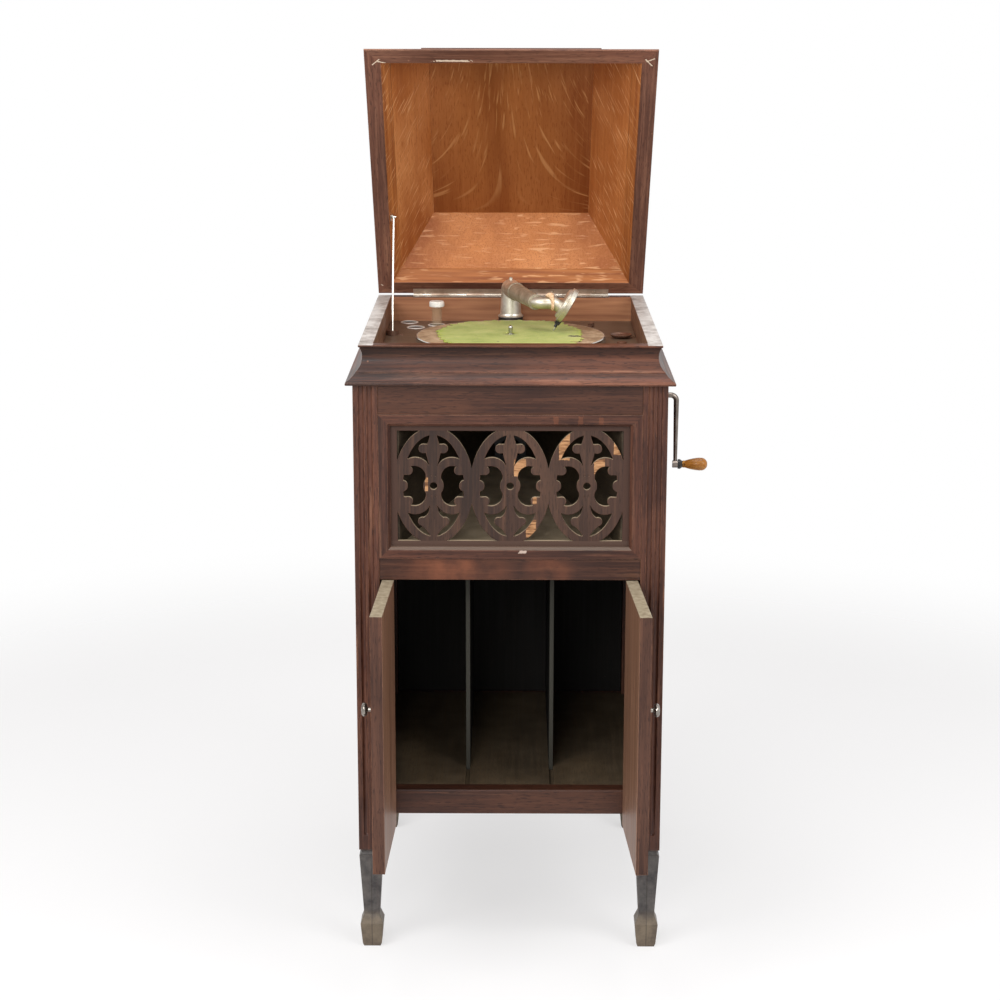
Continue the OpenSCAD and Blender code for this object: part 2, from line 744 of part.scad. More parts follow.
// Plate on the lid's wall with the pin that carries the rod's eye
module stay_bracket() {
    z = hinge_z + stay_n;
    wall_x = -(lid_in_half - (z - lid_z) * lid_slope);
    color("#bdb9b1") with_lid() {
        intersection() {
            translate([wall_x - 1, hinge_y - stay_u - 6, z - 4]) cube([3.2, 12, 14]);
            translate([0, 0, lid_z]) rotate([90, 0, 0]) translate([0, 0, -400]) linear_extrude(800)
                polygon([[-lid_in_half, 0], [-lid_in_half + 3, 0], [-lid_in_half + 3 + 30 * lid_slope, 30],
                    [-lid_in_half + 30 * lid_slope, 30]]);
        }
        translate([wall_x + 1.6, hinge_y - stay_u, z]) rotate([0, 90, 0])
            cylinder(r = stay_pin_r, h = stay_x + 2.4 - wall_x);
        translate([stay_x + 2, hinge_y - stay_u, z]) rotate([0, 90, 0]) cylinder(r = 2.6, h = 1.6);
    }
}

// A door hangs on its pins; it is drawn shut and turned open
module with_door(sx) {
    open = sx < 0 ? -door_left_open : door_right_open;
    translate([sx * butt_x, butt_y, 0]) rotate([0, 0, open]) translate([-sx * butt_x, -butt_y, 0]) children();
}

module door(sx) {
    edge = bay_half - door_gap;
    with_door(sx) difference() {
        translate([sx > 0 ? door_gap / 2 : -edge, front_y + door_inset, door_bottom_z])
            cube([edge - door_gap / 2, door_t, door_h]);
        for (z = butt_z) {
            translate([sx * butt_x, butt_y, z - 0.3]) cylinder(r = butt_r + 0.5, h = butt_h + 0.6);
            translate([sx * edge - (sx > 0 ? butt_leaf_t - 0.2 : 0.2), butt_y, z])
                cube([butt_leaf_t, butt_leaf_w + 1, butt_h]);
        }
    }
}

module door_left() {
    color("#5a3628") door(-1);
}

module door_right() {
    color("#5a3628") door(1);
}

// Leaves let into the door's edge
module door_leaves(sx) {
    edge = bay_half - door_gap;
    with_door(sx) for (z = butt_z) difference() {
        union() {
            translate([sx * edge - (sx > 0 ? butt_leaf_t - 0.2 : 0.2), butt_y, z])
                cube([butt_leaf_t, butt_leaf_w + 1, butt_h]);
            for (i = [1, 3]) butt_knuckle(sx, z, i);
        }
        for (i = [0, 2, 4]) translate([sx * butt_x, butt_y, z + i * butt_h / 5 - 0.15])
            cylinder(r = butt_r + 0.4, h = butt_h / 5 + 0.3);
        butt_bore(sx, z);
    }
}

module door_hinge_leaves_left() {
    color("#9a8660") door_leaves(-1);
}

module door_hinge_leaves_right() {
    color("#9a8660") door_leaves(1);
}

// Small turned metal knob on the door's face, near its free edge
module door_knob(sx) {
    outline = concat([[0, 0], [6, 0], [6, 1.2], [3, 2], [2.8, 6]],
        arc_through([5, 7.5], [10, 11.5], [5.5, 15.5], 10), [[0, 16.5]]);
    with_door(sx) translate([sx * (door_gap / 2 + knob_from_edge), front_y + door_inset, knob_z])
        rotate([90, 0, 0]) rotate_extrude() polygon(outline);
}

module door_knob_left() {
    color("#b9b2a2") door_knob(-1);
}

module door_knob_right() {
    color("#b9b2a2") door_knob(1);
}

// Stamped turntable with a turned-down rim, ribbed underneath round its hub
module turntable_platter() {
    h = platter_h;
    color("#9a8d78") translate([0, table_y, platter_z]) rotate_extrude($fn = 96)
        polygon([[hub_bore_r, h - 7], [14, h - 7], [16, h - 2.2], [platter_r - 2.2, h - 2.2], [platter_r - 2.2, 0],
            [platter_r, 0], [platter_r, h - 1], [platter_r - 1, h], [hub_bore_r, h]]);
}

module turntable_felt() {
    color("#b4bd62") translate([0, table_y, felt_z]) rotate_extrude($fn = 96)
        polygon([[hub_bore_r, 0], [felt_r, 0], [felt_r, felt_t], [hub_bore_r, felt_t]]);
}

felt_r = platter_r * 0.79;

// Spindle with its record pin, drive pinion and the wheel that turns the governor
module turntable_spindle() {
    low = motor_floor_z + 0.6;
    color("#c4c0b6") translate([0, table_y, 0]) {
        translate([0, 0, felt_z + felt_t]) cylinder(r = spindle_r, h = 10);
        translate([0, 0, felt_z + felt_t + 10]) sphere(r = spindle_r);
        translate([0, 0, platter_z + 2]) cylinder(r = hub_r, h = felt_z + felt_t - platter_z - 2);
        translate([0, 0, low]) cylinder(r = shaft_r, h = platter_z + 2 - low);
        translate([0, 0, mid_gear_z - 2]) spur(spindle_teeth, mid_mod, 8, spindle_turn);
        translate([0, 0, worm_z - 3]) spur(worm_wheel_teeth, 2 * worm_wheel_r / worm_wheel_teeth, 6, 0);
    }
}

// Involute outline of a spur gear, with its first tooth centred on the angle turn
function involute(base, a) = [base * (cos(a) + a * PI / 180 * sin(a)), base * (sin(a) - a * PI / 180 * cos(a))];
function gear_points(teeth, mod, turn) =
    let (pitch = teeth * mod / 2, base = pitch * cos(20), tip = pitch + 0.9 * mod,
         root = pitch - 1.2 * mod, low = max(base, root),
         to_tip = acos(base / tip), to_low = low > base ? acos(base / low) : 0,
         t1 = sqrt(pow(tip / base, 2) - 1) * 180 / PI,
         t0 = sqrt(pow(low / base, 2) - 1) * 180 / PI,
         tp = tan(20) * 180 / PI,
         at_pitch = atan2(involute(base, tp)[1], involute(base, tp)[0]),
         half = 90 / teeth - 1.6 / teeth * 3 + at_pitch, steps = 3)
    [for (i = [0 : teeth - 1]) let (c = turn + i * 360 / teeth)
        each concat(
            [root * [cos(c - 180 / teeth * 0.75), sin(c - 180 / teeth * 0.75)]],
            [for (k = [0 : steps]) let (p = involute(base, t0 + (t1 - t0) * k / steps),
                r = norm(p), a = half - atan2(p[1], p[0])) r * [cos(c - a), sin(c - a)]],
            [for (k = [steps : -1 : 0]) let (p = involute(base, t0 + (t1 - t0) * k / steps),
                r = norm(p), a = half - atan2(p[1], p[0])) r * [cos(c + a), sin(c + a)]],
            [root * [cos(c + 180 / teeth * 0.75), sin(c + 180 / teeth * 0.75)]])];

module spur(teeth, mod, h, turn) {
    linear_extrude(h) polygon(gear_points(teeth, mod, turn));
}

// Turns that put a tooth of one wheel in a gap of the next
to_mid = mid_at - spindle_at;
to_barrel = barrel_at - mid_at;
mid_dir = atan2(to_mid[1], to_mid[0]);
barrel_dir = atan2(to_barrel[1], to_barrel[0]);
spindle_turn = mid_dir + 180 / spindle_teeth;
mid_gear_turn = mid_dir + 180;
mid_pinion_turn = barrel_dir + 180 / mid_pinion_teeth;
barrel_turn = barrel_dir + 180;

// Pressed plates and pillars that hold the clockwork under the motor board
module motor_frame() {
    x0 = -58;
    x1 = barrel_x + barrel_pitch_r + 8;
    y0 = crank_y - barrel_pitch_r - 8;
    y1 = crank_y + barrel_pitch_r + 30;
    color("#3b3a38") difference() {
        union() {
            for (z = [motor_floor_z, motor_top_z - plate_t])
                translate([x0, y0, z]) cube([x1 - x0, y1 - y0, plate_t]);
            for (x = [x0 + 8, x1 - 8]) for (y = [y0 + 8, y1 - 8])
                translate([x, y, motor_floor_z]) cylinder(r = 5, h = motor_h - 1);
            translate([x1 - 14, crank_y - 10, motor_floor_z]) cube([8, 20, crank_z - motor_floor_z + 9]);
            for (y = governor_ends()) translate([governor_x - 5, y - 2.5, worm_z - 7])
                cube([10, 5, motor_top_z - worm_z + 5]);
        }
        translate([0, table_y, motor_floor_z - 1]) cylinder(r = shaft_r + fit, h = motor_h + 2);
        for (p = [mid_at, barrel_at]) translate([p[0], p[1], motor_floor_z - 1])
            cylinder(r = shaft_r + fit, h = motor_h + 2);
        translate([x1 - 30, crank_y, crank_z]) rotate([0, 90, 0]) cylinder(r = winding_r + fit, h = 60);
        translate([governor_x, -200, worm_z]) rotate([-90, 0, 0]) cylinder(r = 2 + fit, h = 400);
    }
}
function governor_ends() = [table_y - 30, table_y + 60];

// Drum with a toothed flange; the mainspring lies inside
module spring_barrel() {
    color("#8d7a4c") translate([barrel_at[0], barrel_at[1], 0]) {
        difference() {
            union() {
                translate([0, 0, barrel_z]) cylinder(r = barrel_r, h = barrel_h, $fn = 72);
                translate([0, 0, barrel_gear_z]) spur(barrel_teeth, barrel_mod, 5, barrel_turn);
            }
            translate([0, 0, barrel_z + 2]) cylinder(r = barrel_r - 2, h = barrel_h - 4, $fn = 72);
            translate([0, 0, barrel_z - 1]) cylinder(r = shaft_r + 2 + fit, h = barrel_h + 2);
        }
    }
}

// Coiled ribbon spring, hooked to the drum outside and to the arbor inside
module mainspring() {
    turns = 7;
    n = turns * 24;
    r0 = shaft_r + 2.3;
    r1 = barrel_r - 3.4;
    strip = 1.2;
    line = [for (i = [0 : n]) let (a = i * 15, r = r0 + (r1 - r0) * i / n) [r * cos(a), r * sin(a)]];
    edge = [for (i = [n : -1 : 0]) let (a = i * 15, r = r0 + strip + (r1 - r0) * i / n) [r * cos(a), r * sin(a)]];
    color("#5c6670") translate([barrel_at[0], barrel_at[1], barrel_z + 2.4])
        linear_extrude(barrel_h - 4.8) polygon(concat(line, edge));
}

// Arbor of the mainspring with the crown wheel that the crank drives
module spring_arbor() {
    top = motor_top_z - plate_t;
    color("#a9a59c") translate([barrel_at[0], barrel_at[1], 0]) {
        translate([0, 0, motor_floor_z + 0.4]) cylinder(r = shaft_r, h = motor_h - 0.8);
        translate([0, 0, barrel_z - 4]) cylinder(r = shaft_r + 2, h = barrel_h + 8);
        crown_wheel();
    }
}

// Flat wheel with radial teeth cut in its underside
module crown_wheel() {
    tooth_h = 2.7;
    difference() {
        translate([0, 0, crown_z - tooth_h]) cylinder(r = crown_r, h = tooth_h + 3);
        translate([0, 0, crown_z - tooth_h - 1]) cylinder(r = crown_r - crown_face, h = tooth_h + 1);
        for (i = [0 : crown_teeth - 1]) rotate([0, 0, (i + 0.5) * 360 / crown_teeth])
            translate([crown_r - crown_face - 3, 0, crown_z]) rotate([90, 0, 90]) linear_extrude(crown_face + 6)
                polygon([[-1.1, 0], [1.1, 0], [1.7, -tooth_h], [1.7, -tooth_h - 1], [-1.7, -tooth_h - 1],
                    [-1.7, -tooth_h]]);
    }
}

// Pinion and large wheel that pass the barrel's turning to the spindle
module intermediate_shaft() {
    color("#b0a070") translate([mid_at[0], mid_at[1], 0]) {
        translate([0, 0, motor_floor_z + 0.4]) cylinder(r = shaft_r - 0.0, h = motor_h - 0.8);
        translate([0, 0, barrel_gear_z - 2]) spur(mid_pinion_teeth, barrel_mod, 9, mid_pinion_turn);
        translate([0, 0, mid_gear_z]) spur(mid_gear_teeth, mid_mod, 4, mid_gear_turn);
    }
}

// Governor: a grooved worm, a friction disc and sprung weights on one shaft
module governor_shaft() {
    ends = governor_ends();
    pitch = 2 * PI * worm_wheel_r / worm_wheel_teeth;
    color("#b9b4a8") translate([governor_x, 0, worm_z]) {
        translate([0, ends[0] - 4, 0]) rotate([-90, 0, 0]) cylinder(r = 2, h = ends[1] - ends[0] + 8);
        translate([0, table_y, 0]) rotate([90, 0, 0]) rotate_extrude() polygon(worm_outline(pitch));
        translate([0, ends[1] - 12, 0]) rotate([-90, 0, 0]) cylinder(r = 13, h = 2);
        translate([0, ends[1] - 18, 0]) rotate([-90, 0, 0]) cylinder(r = 4.5, h = 6.01);
        translate([0, table_y + 13, 0]) rotate([-90, 0, 0]) cylinder(r = 4.5, h = 5);
    }
}

// Half outline of the worm: ridges that sit in the gaps of the wheel
function worm_outline(pitch) = concat([[0, -4 * pitch]],
    [for (i = [-3.5 : 1 : 2.5]) each [
        [worm_r - 1.3, (i + 0.14) * pitch], [worm_r + 0.2, (i + 0.38) * pitch],
        [worm_r + 0.2, (i + 0.62) * pitch], [worm_r - 1.3, (i + 0.86) * pitch]]],
    [[0, 4 * pitch]]);

// Three weights on flat springs between the governor's two collars
module governor_weights() {
    y0 = table_y + 15.5;
    y1 = governor_ends()[1] - 15;
    mid = (y0 + y1) / 2;
    color("#8f8158") translate([governor_x, 0, worm_z]) for (i = [0 : 2]) rotate([0, i * 120, 0]) {
        translate([4.5, y0, -2.5]) cube([0.6, 4, 5]);
        translate([4.5, y1 - 4, -2.5]) cube([0.6, 4, 5]);
        translate([0, 0, -2.5]) linear_extrude(5)
            polygon([[4.5, y0], [5.3, y0], [11.4, mid - 4], [11.4, mid + 4], [5.3, y1], [4.5, y1],
                [10.6, mid + 4], [10.6, mid - 4]]);
        translate([11, mid, 0]) rotate([0, 90, 0]) cylinder(r = 5.5, h = 6);
    }
}

// Winding shaft with the pinion that meets the crown wheel
module winding_shaft() {
    inner = barrel_x + crown_r - crown_face - 0.5;
    color("#8e8a84") translate([inner, crank_y, crank_z]) rotate([0, 90, 0]) {
        crank_pinion();
        translate([0, 0, crown_face + 0.5]) cylinder(r = winding_r, h = half_w + 16 - inner - crown_face - 0.5);
    }
}

// Straight-toothed pinion with a gap between two teeth on top
module crank_pinion() {
    r = pinion_pitch_r;
    linear_extrude(crown_face + 1) {
        circle(r = r - 1.5);
        for (i = [0 : pinion_teeth - 1]) rotate((i + 0.5) * 360 / pinion_teeth)
            polygon([[r - 2.4, -1.05], [r - 1.6, -1.05], [r + 1.15, -0.45], [r + 1.15, 0.45], [r - 1.6, 1.05],
                [r - 2.4, 1.05]]);
    }
}

arm_top_x = half_w + 33;

// Forged crank: a round boss on the shaft, a bend and a tapering arm down to the grip
module crank_arm() {
    bend = 9;
    color("#3d3833") translate([0, crank_y, 0]) {
        translate([half_w + 4, 0, crank_z]) rotate([0, 90, 0]) difference() {
            cylinder(r = 7.5, h = 14);
            translate([0, 0, -1]) cylinder(r = winding_r, h = 13.01);
        }
        translate([half_w + 17, 0, crank_z]) rotate([0, 90, 0]) cylinder(r = 4.4, h = arm_top_x - bend - half_w - 17);
        translate([arm_top_x - bend, 0, crank_z - bend]) rotate([90, 0, 0]) rotate_extrude(angle = 90)
            translate([bend, 0]) circle(r = 4.4, $fn = 32);
        translate([arm_top_x, 0, crank_z - crank_throw]) cylinder(r1 = 3, r2 = 4.4, h = crank_throw - bend);
        translate([arm_top_x - 4.5, 0, crank_z - crank_throw]) rotate([0, 90, 0]) cylinder(r = 6, h = 8.5);
        translate([arm_top_x + 4, 0, crank_z - crank_throw]) rotate([0, 90, 0]) cylinder(r = 2.5, h = grip_len + 2);
    }
}

grip_len = 44;

// Black cone and brass ring between the arm and the grip
module crank_ferrule() {
    color("#a6763c") translate([arm_top_x + 4.3, crank_y, crank_z - crank_throw]) rotate([0, 90, 0]) rotate_extrude()
        polygon([[2.5 + fit, 0], [7.8, 0], [8, 3.5], [5.4, 7], [6, 10.5], [2.5 + fit, 10.5]]);
}

module crank_grip() {
    r = grip_d / 2;
    outline = concat([[2.5 + fit, 0], [5.6, 0]],
        arc_through([5.8, 1], [r * 0.8, 10], [r, 24], 6), arc_through([r - 0.1, 26], [r - 1.2, 32], [3.4, 37], 6),
        [[2.5 + fit, 37]]);
    color("#b07a3c") translate([arm_top_x + 15, crank_y, crank_z - crank_throw]) rotate([0, 90, 0])
        rotate_extrude() polygon(outline);
}

module crank_escutcheon() {
    color("#8a7b55") translate([half_w - panel_inset, crank_y, crank_z]) rotate([0, 90, 0]) difference() {
        union() {
            cylinder(r = 17, h = 2);
            cylinder(r = 10, h = 6);
        }
        translate([0, 0, -1]) cylinder(r = winding_r + fit, h = 10);
    }
}

// Black flanged collar that the tonearm's elbow turns on
module tonearm_collar() {
    color("#1f1f20") translate([arm_base[0], arm_base[1], board_z]) rotate_extrude()
        polygon([[neck_r - 5, 0], [22, 0], [22, 4.5], [20.8, 5.5], [20.8, 13.2], [neck_r - 5, 13.2]]);
}

arm_socket = 34;

// Nickelled elbow: a flared column with a round head, a socket for the tube and a pivot screw
module tonearm_bracket() {
    z0 = board_z + 13.4;
    r_head = elbow_r + 1.5;
    color("#b9b5aa") translate([arm_base[0], arm_base[1], 0]) difference() {
        union() {
            translate([0, 0, z0]) rotate_extrude() polygon([[0, 0], [21, 0], [21.4, 1.6], [19, 3], [17.6, 6],
                [16.8, 24], [r_head, arm_z - z0 - 3], [0, arm_z - z0 - 3]]);
            translate([0, 0, arm_z]) sphere(r = r_head);
            translate([0, 0, arm_z]) rotate([0, 0, arm_angle]) rotate([90, 0, 0])
                cylinder(r1 = r_head - 0.4, r2 = elbow_r - 0.2, h = arm_socket);
            translate([0, 0, arm_z + r_head - 1.5]) cylinder(r = 3, h = 3.5);
            translate([0, 0, arm_z + r_head + 2]) cylinder(r1 = 3, r2 = 1.6, h = 1.8);
        }
        translate([0, 0, z0 - 1]) cylinder(r = 13, h = arm_z - z0);
        translate([0, 0, arm_z]) sphere(r = r_head - 3);
        translate([0, 0, arm_z]) rotate([0, 0, arm_angle]) rotate([90, 0, 0]) cylinder(r = 11.5, h = 30);
    }
}

// Tapered tube from the elbow to the gooseneck, with a rolled ring at each end
module tonearm_tube() {
    end = arm_len - arm_socket;
    color("#a49e90") translate([arm_base[0], arm_base[1], arm_z]) rotate([0, 0, arm_angle])
        rotate([90, 0, 0]) translate([0, 0, arm_socket]) rotate_extrude() polygon([
            [11.5, 0], [14.4, 0], [15.2, 1.2], [15.2, 3.6], [14.4, 4.8], [14, 4.8], [11.8, end - 5.6],
            [12.2, end - 5.2], [12.75, end - 4], [12.75, end - 1], [12, end], [gooseneck_r + fit, end],
            [gooseneck_r + fit, end - 15], [10.4, end - 17]]);
}

gooseneck_r = 9.4;
// Bent tube that carries the sound box and turns in the end of the tonearm
module gooseneck() {
    r = gooseneck_bend;
    color("#b4afa3") translate([arm_end[0] + r * cos(arm_angle), box_y + r, arm_z]) {
        rotate([0, 0, 180 + arm_angle]) rotate_extrude(angle = 90 - arm_angle) translate([r, 0]) tube_ring();
        rotate([0, 0, 180 + arm_angle]) translate([r, 0, 0]) rotate([90, 0, 0]) linear_extrude(12) tube_ring();
        translate([0, -r, 0]) rotate([0, 90, 0])
            linear_extrude(gooseneck_end_x + rubber_t - arm_end[0] - r * cos(arm_angle)) tube_ring();
    }
}

module tube_ring() {
    difference() {
        circle(r = gooseneck_r);
        circle(r = gooseneck_r - 1.2);
    }
}

// Tan rubber ring that holds the sound box on the gooseneck
module rubber_ring() {
    color("#d8b988") translate([gooseneck_end_x, box_y, arm_z]) rotate([0, 90, 0]) difference() {
        cylinder(r = gooseneck_r + 2.6, h = rubber_t);
        translate([0, 0, -1]) cylinder(r = gooseneck_r + 0.1, h = rubber_t + 2);
    }
}

// Everything on the sound box is drawn round its own axis, with x towards the needle
module at_sound_box() {
    translate(box_centre) rotate([0, 90 + box_tilt, 0]) children();
}

box_back = 9;
box_front = 4;

module sound_box() {
    // Place on the box's back where the neck's end arrives
    dx = gooseneck_end_x + rubber_t - box_centre[0];
    dz = arm_z - box_centre[2];
    off = -dx * sin(box_tilt) - dz * cos(box_tilt);
    color("#aaa79e") difference() {
        union() {
            at_sound_box() rotate_extrude($fn = 72) polygon([[0, -box_back], [24, -box_back], [25.5, -box_back + 2],
                [26, -4.6], [box_r, -4.2], [box_r, 3], [box_r - 1.5, box_front], [box_r - 4, box_front],
                [box_r - 4, 1.4], [box_r - 2.4, 1], [box_r - 2.4, -1.4], [box_r - 5, -3], [0, -5]]);
            at_sound_box() translate([off, 0, -30]) cylinder(r = gooseneck_r + 0.8, h = 30 - box_back + 1);
        }
        translate([gooseneck_end_x + rubber_t - 60, box_y - 40, arm_z - 60]) cube([60, 80, 120]);
        at_sound_box() translate([off, 0, -31]) cylinder(r = gooseneck_r - 2, h = 28);
    }
}

module diaphragm() {
    color("#c8c3ae") at_sound_box() translate([0, 0, -0.3]) cylinder(r = box_r - 2.6, h = 0.6, $fn = 72);
}

// Lever from the needle socket over the front to the middle of the diaphragm
module needle_bar() {
    color("#2a2724") at_sound_box() {
        difference() {
            union() {
                translate([box_r + 0.3, -4, -3]) cube([5, 8, 8]);
                translate([box_r + 5.2, 0, needle_lead - 1]) rotate([0, 90, 0]) cylinder(r = 2.6, h = 5.5);
                translate([box_r - 7, -1.2, box_front + 0.3]) cube([9, 2.4, 1.4]);
            }
            translate([box_r + 3, 0, needle_lead]) rotate([0, 90, 0]) cylinder(r = 0.8, h = 9);
        }
        translate([-1.2, -1.2, box_front + 0.3]) cube([box_r - 5, 2.4, 1.2]);
        translate([0, 0, 0.3]) cylinder(r = 1.2, h = box_front + 1);
        translate([box_r + 8, 2, needle_lead - 1]) rotate([-90, 0, 0]) cylinder(r = 1.3, h = 6);
    }
}

module needle() {
    color("#cfd2d6") at_sound_box() translate([box_r + 4, 0, needle_lead]) rotate([0, 90, 0]) {
        cylinder(r = 0.8, h = needle_reach - box_r - 8);
        translate([0, 0, needle_reach - box_r - 8]) cylinder(r1 = 0.8, r2 = 0.15, h = 4);
    }
}

// Wooden horn that widens from the neck to the fretwork
module horn() {
    color("#5a4030") difference() {
        horn_hull(0);
        horn_hull(horn_wall);
    }
    color("#5a4030") translate([-horn_mouth_half, front_y + rail_inset + rail_t, door_top_z + 6 + shelf_t])
        cube([2 * horn_mouth_half, 16, horn_floor_z - horn_wall - door_top_z - 6 - shelf_t]);
}

module horn_hull(inset) {
    mouth = horn_mouth_half - inset;
    throat = horn_throat_half + horn_wall - inset;
    y0 = horn_mouth_y - (inset > 0 ? 1 : 0);
    y1 = horn_throat_y + (inset > 0 ? 1 : 0);
    intersection() {
        translate([0, 0, middle_rail_z - 100]) linear_extrude(600)
            polygon([[-mouth, y0], [mouth, y0], [throat, y1], [-throat, y1]]);
        rotate([90, 0, 90]) translate([0, 0, -body_w]) linear_extrude(2 * body_w)
            polygon([[y0, horn_floor_z - horn_wall + inset], [y0, horn_ceiling_z + horn_wall - inset],
                [y1, horn_throat_z + horn_throat_half + horn_wall - inset],
                [y1, horn_throat_z - horn_throat_half - horn_wall + inset]]);
    }
}

// Cast-iron neck from under the tonearm round to the back of the horn, with its flange
module horn_neck() {
    bend_z = horn_throat_z + neck_bend_r;
    flange = horn_throat_half + horn_wall;
    color("#2f2d2b") {
        translate([0, neck_y, bend_z]) linear_extrude(board_bottom_z - bend_z) neck_ring();
        translate([0, neck_y - neck_bend_r, bend_z]) rotate([0, 90, 0])
            rotate_extrude(angle = 90) translate([neck_bend_r, 0]) neck_ring();
        translate([0, neck_y - neck_bend_r, horn_throat_z]) rotate([90, 0, 0])
            linear_extrude(neck_y - neck_bend_r - horn_throat_y) neck_ring();
        translate([0, horn_throat_y + 4, horn_throat_z]) rotate([90, 0, 0]) linear_extrude(4) difference() {
            square(2 * flange, center = true);
            circle(r = neck_r - 2);
        }
    }
}

module neck_ring() {
    difference() {
        circle(r = neck_r);
        circle(r = neck_r - 4);
    }
}

cup_r = 13.5;
cup_depth = 8;
cup_places = [[-172, 223], [-159, 168], [-124.5, 194]];

// Three pressed cups for needles, let into the motor board
module needle_cups() {
    color("#c2beb4") for (p = cup_places) translate([p[0], p[1], board_z]) rotate_extrude()
        polygon([[0, -cup_depth], [cup_r - 1.5, -cup_depth], [cup_r, -cup_depth + 1.5], [cup_r, 0],
            [cup_r + 1.8, 0], [cup_r + 1.8, 0.8], [cup_r, 1.3], [cup_r - 0.8, 0.8], [cup_r - 0.8, -cup_depth + 2],
            [cup_r - 2.2, -cup_depth + 0.8], [0, -cup_depth + 0.8]]);
}

bottle_at = [cup_places[2][0], cup_places[2][1], board_z - cup_depth + 0.8];
bottle_h = 44;

module needle_bottle() {
    color("#cfc8b4") translate(bottle_at) rotate_extrude()
        polygon([[0, 0], [8.5, 0], [9.2, 1], [9.2, bottle_h - 8], [7.6, bottle_h - 6], [7.6, bottle_h],
            [6.6, bottle_h], [6.6, bottle_h - 6.4], [8.2, bottle_h - 8.4], [8.2, 2], [0, 1.6]]);
}

module bottle_cap() {
    color("#f2efe6") translate(bottle_at) translate([0, 0, bottle_h - 5]) rotate_extrude()
        polygon([[7.7, 0], [12.2, 0], [12.8, 1.2], [12.6, 7], [11.4, 9], [0, 9], [0, 5.2], [7.7, 5.2]]);
}

module used_needle_dish() {
    color("#4a3a30") translate([180, 64, board_z]) rotate_extrude()
        polygon([[0, 0], [9, 0], [16, 3], [18.5, 6], [17.8, 6.6], [15, 4.2], [8.5, 1.4], [0, 1.2]]);
}

brake_at = [134, 178];
brake_len = 50;
brake_aim = atan2(table_y - brake_at[1], -brake_at[0]) + 30;
regulator_at = [178, 0];

// Brake lever: turning it presses its leather pad on the turntable's rim
module brake_lever() {
    color("#a8a294") translate([brake_at[0], brake_at[1], board_z]) rotate([0, 0, brake_aim]) {
        translate([0, 0, 0.4]) linear_extrude(2) {
            circle(r = 6);
            translate([-15, 0]) circle(r = 4.5);
            translate([brake_len, 0]) circle(r = 4.2);
            translate([-15, -3]) square([brake_len + 15, 6]);
        }
        translate([0, 0, -5.5]) cylinder(r = 2.5, h = 7);
        translate([0, 0, 1.4]) cylinder(r = 3.6, h = 4.2);
        translate([brake_len, 0, 1.4]) cylinder(r = 3.8, h = 7);
        translate([-15, 0, 1.4]) cylinder(r = 4.1, h = 4);
    }
}

// Speed regulator: a pointer on a stem that reaches down to the governor's brake
module speed_regulator() {
    color("#3a322c") translate([regulator_at[0], regulator_at[1], board_z]) {
        translate([0, 0, -board_t - 6]) cylinder(r = 3, h = board_t + 8);
        translate([0, 0, 0.4]) cylinder(r = 8, h = 4);
        translate([0, 0, 0.4]) linear_extrude(2.2) polygon([[-4, 0], [0, -20], [4, 0]]);
    }
}

corner_posts();
side_panel_left();
side_panel_right();
back_panel();
frame_rails();
front_rails();
grille_frame();
fretwork_grille();
horn_shelf();
record_floor();
record_dividers();
cornice();
motor_board();
lid_rim();
lid_walls();
lid_top_panel();
fixed_hinge_leaves();
lid_hinge_leaf();
hinge_pins();
stay_rod();
stay_guide();
stay_bracket();
door_left();
door_right();
door_hinge_leaves_left();
door_hinge_leaves_right();
door_knob_left();
door_knob_right();
turntable_platter();
turntable_felt();
turntable_spindle();
motor_frame();
spring_barrel();
mainspring();
spring_arbor();
intermediate_shaft();
governor_shaft();
governor_weights();
winding_shaft();
crank_arm();
crank_ferrule();
crank_grip();
crank_escutcheon();
tonearm_collar();
tonearm_bracket();
tonearm_tube();
gooseneck();
sound_box();
rubber_ring();
diaphragm();
needle_bar();
needle();
horn();
horn_neck();
needle_cups();
needle_bottle();
bottle_cap();
used_needle_dish();
brake_lever();
speed_regulator();
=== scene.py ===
"""Looks of the console phonograph: wood, metal and cloth finishes, small fittings and the studio."""

import json
import math

import bpy
import numpy as np
from mathutils import Matrix, Vector


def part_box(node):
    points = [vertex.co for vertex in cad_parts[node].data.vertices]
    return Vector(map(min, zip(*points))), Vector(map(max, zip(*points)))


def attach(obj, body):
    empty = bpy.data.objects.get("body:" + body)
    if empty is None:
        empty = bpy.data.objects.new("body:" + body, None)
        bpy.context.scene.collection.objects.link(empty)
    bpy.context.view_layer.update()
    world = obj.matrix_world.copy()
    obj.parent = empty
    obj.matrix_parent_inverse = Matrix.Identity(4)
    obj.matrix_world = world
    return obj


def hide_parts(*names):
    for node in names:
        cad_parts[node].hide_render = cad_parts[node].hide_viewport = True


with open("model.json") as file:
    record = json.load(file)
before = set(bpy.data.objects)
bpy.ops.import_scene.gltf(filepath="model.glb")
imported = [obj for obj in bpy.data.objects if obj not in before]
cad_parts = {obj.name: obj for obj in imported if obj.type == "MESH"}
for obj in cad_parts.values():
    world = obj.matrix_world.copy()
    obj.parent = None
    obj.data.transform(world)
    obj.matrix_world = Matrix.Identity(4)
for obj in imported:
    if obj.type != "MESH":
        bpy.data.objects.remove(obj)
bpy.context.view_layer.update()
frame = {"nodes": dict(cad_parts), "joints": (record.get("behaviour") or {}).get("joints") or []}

bl_info = {
    "name": "Console phonograph",
    "version": (1, 0, 0),
    "blender": (4, 5, 0),
    "location": "3D View > Sidebar > Phonograph",
    "description": "Finishes and fittings of a console phonograph",
    "category": "Object",
}

NODES = frame["nodes"]
JOINTS = {j["name"]: j for j in frame["joints"]}
MM = 0.001
BOARD_TOP = 0.935
FRONT_Y = -0.25
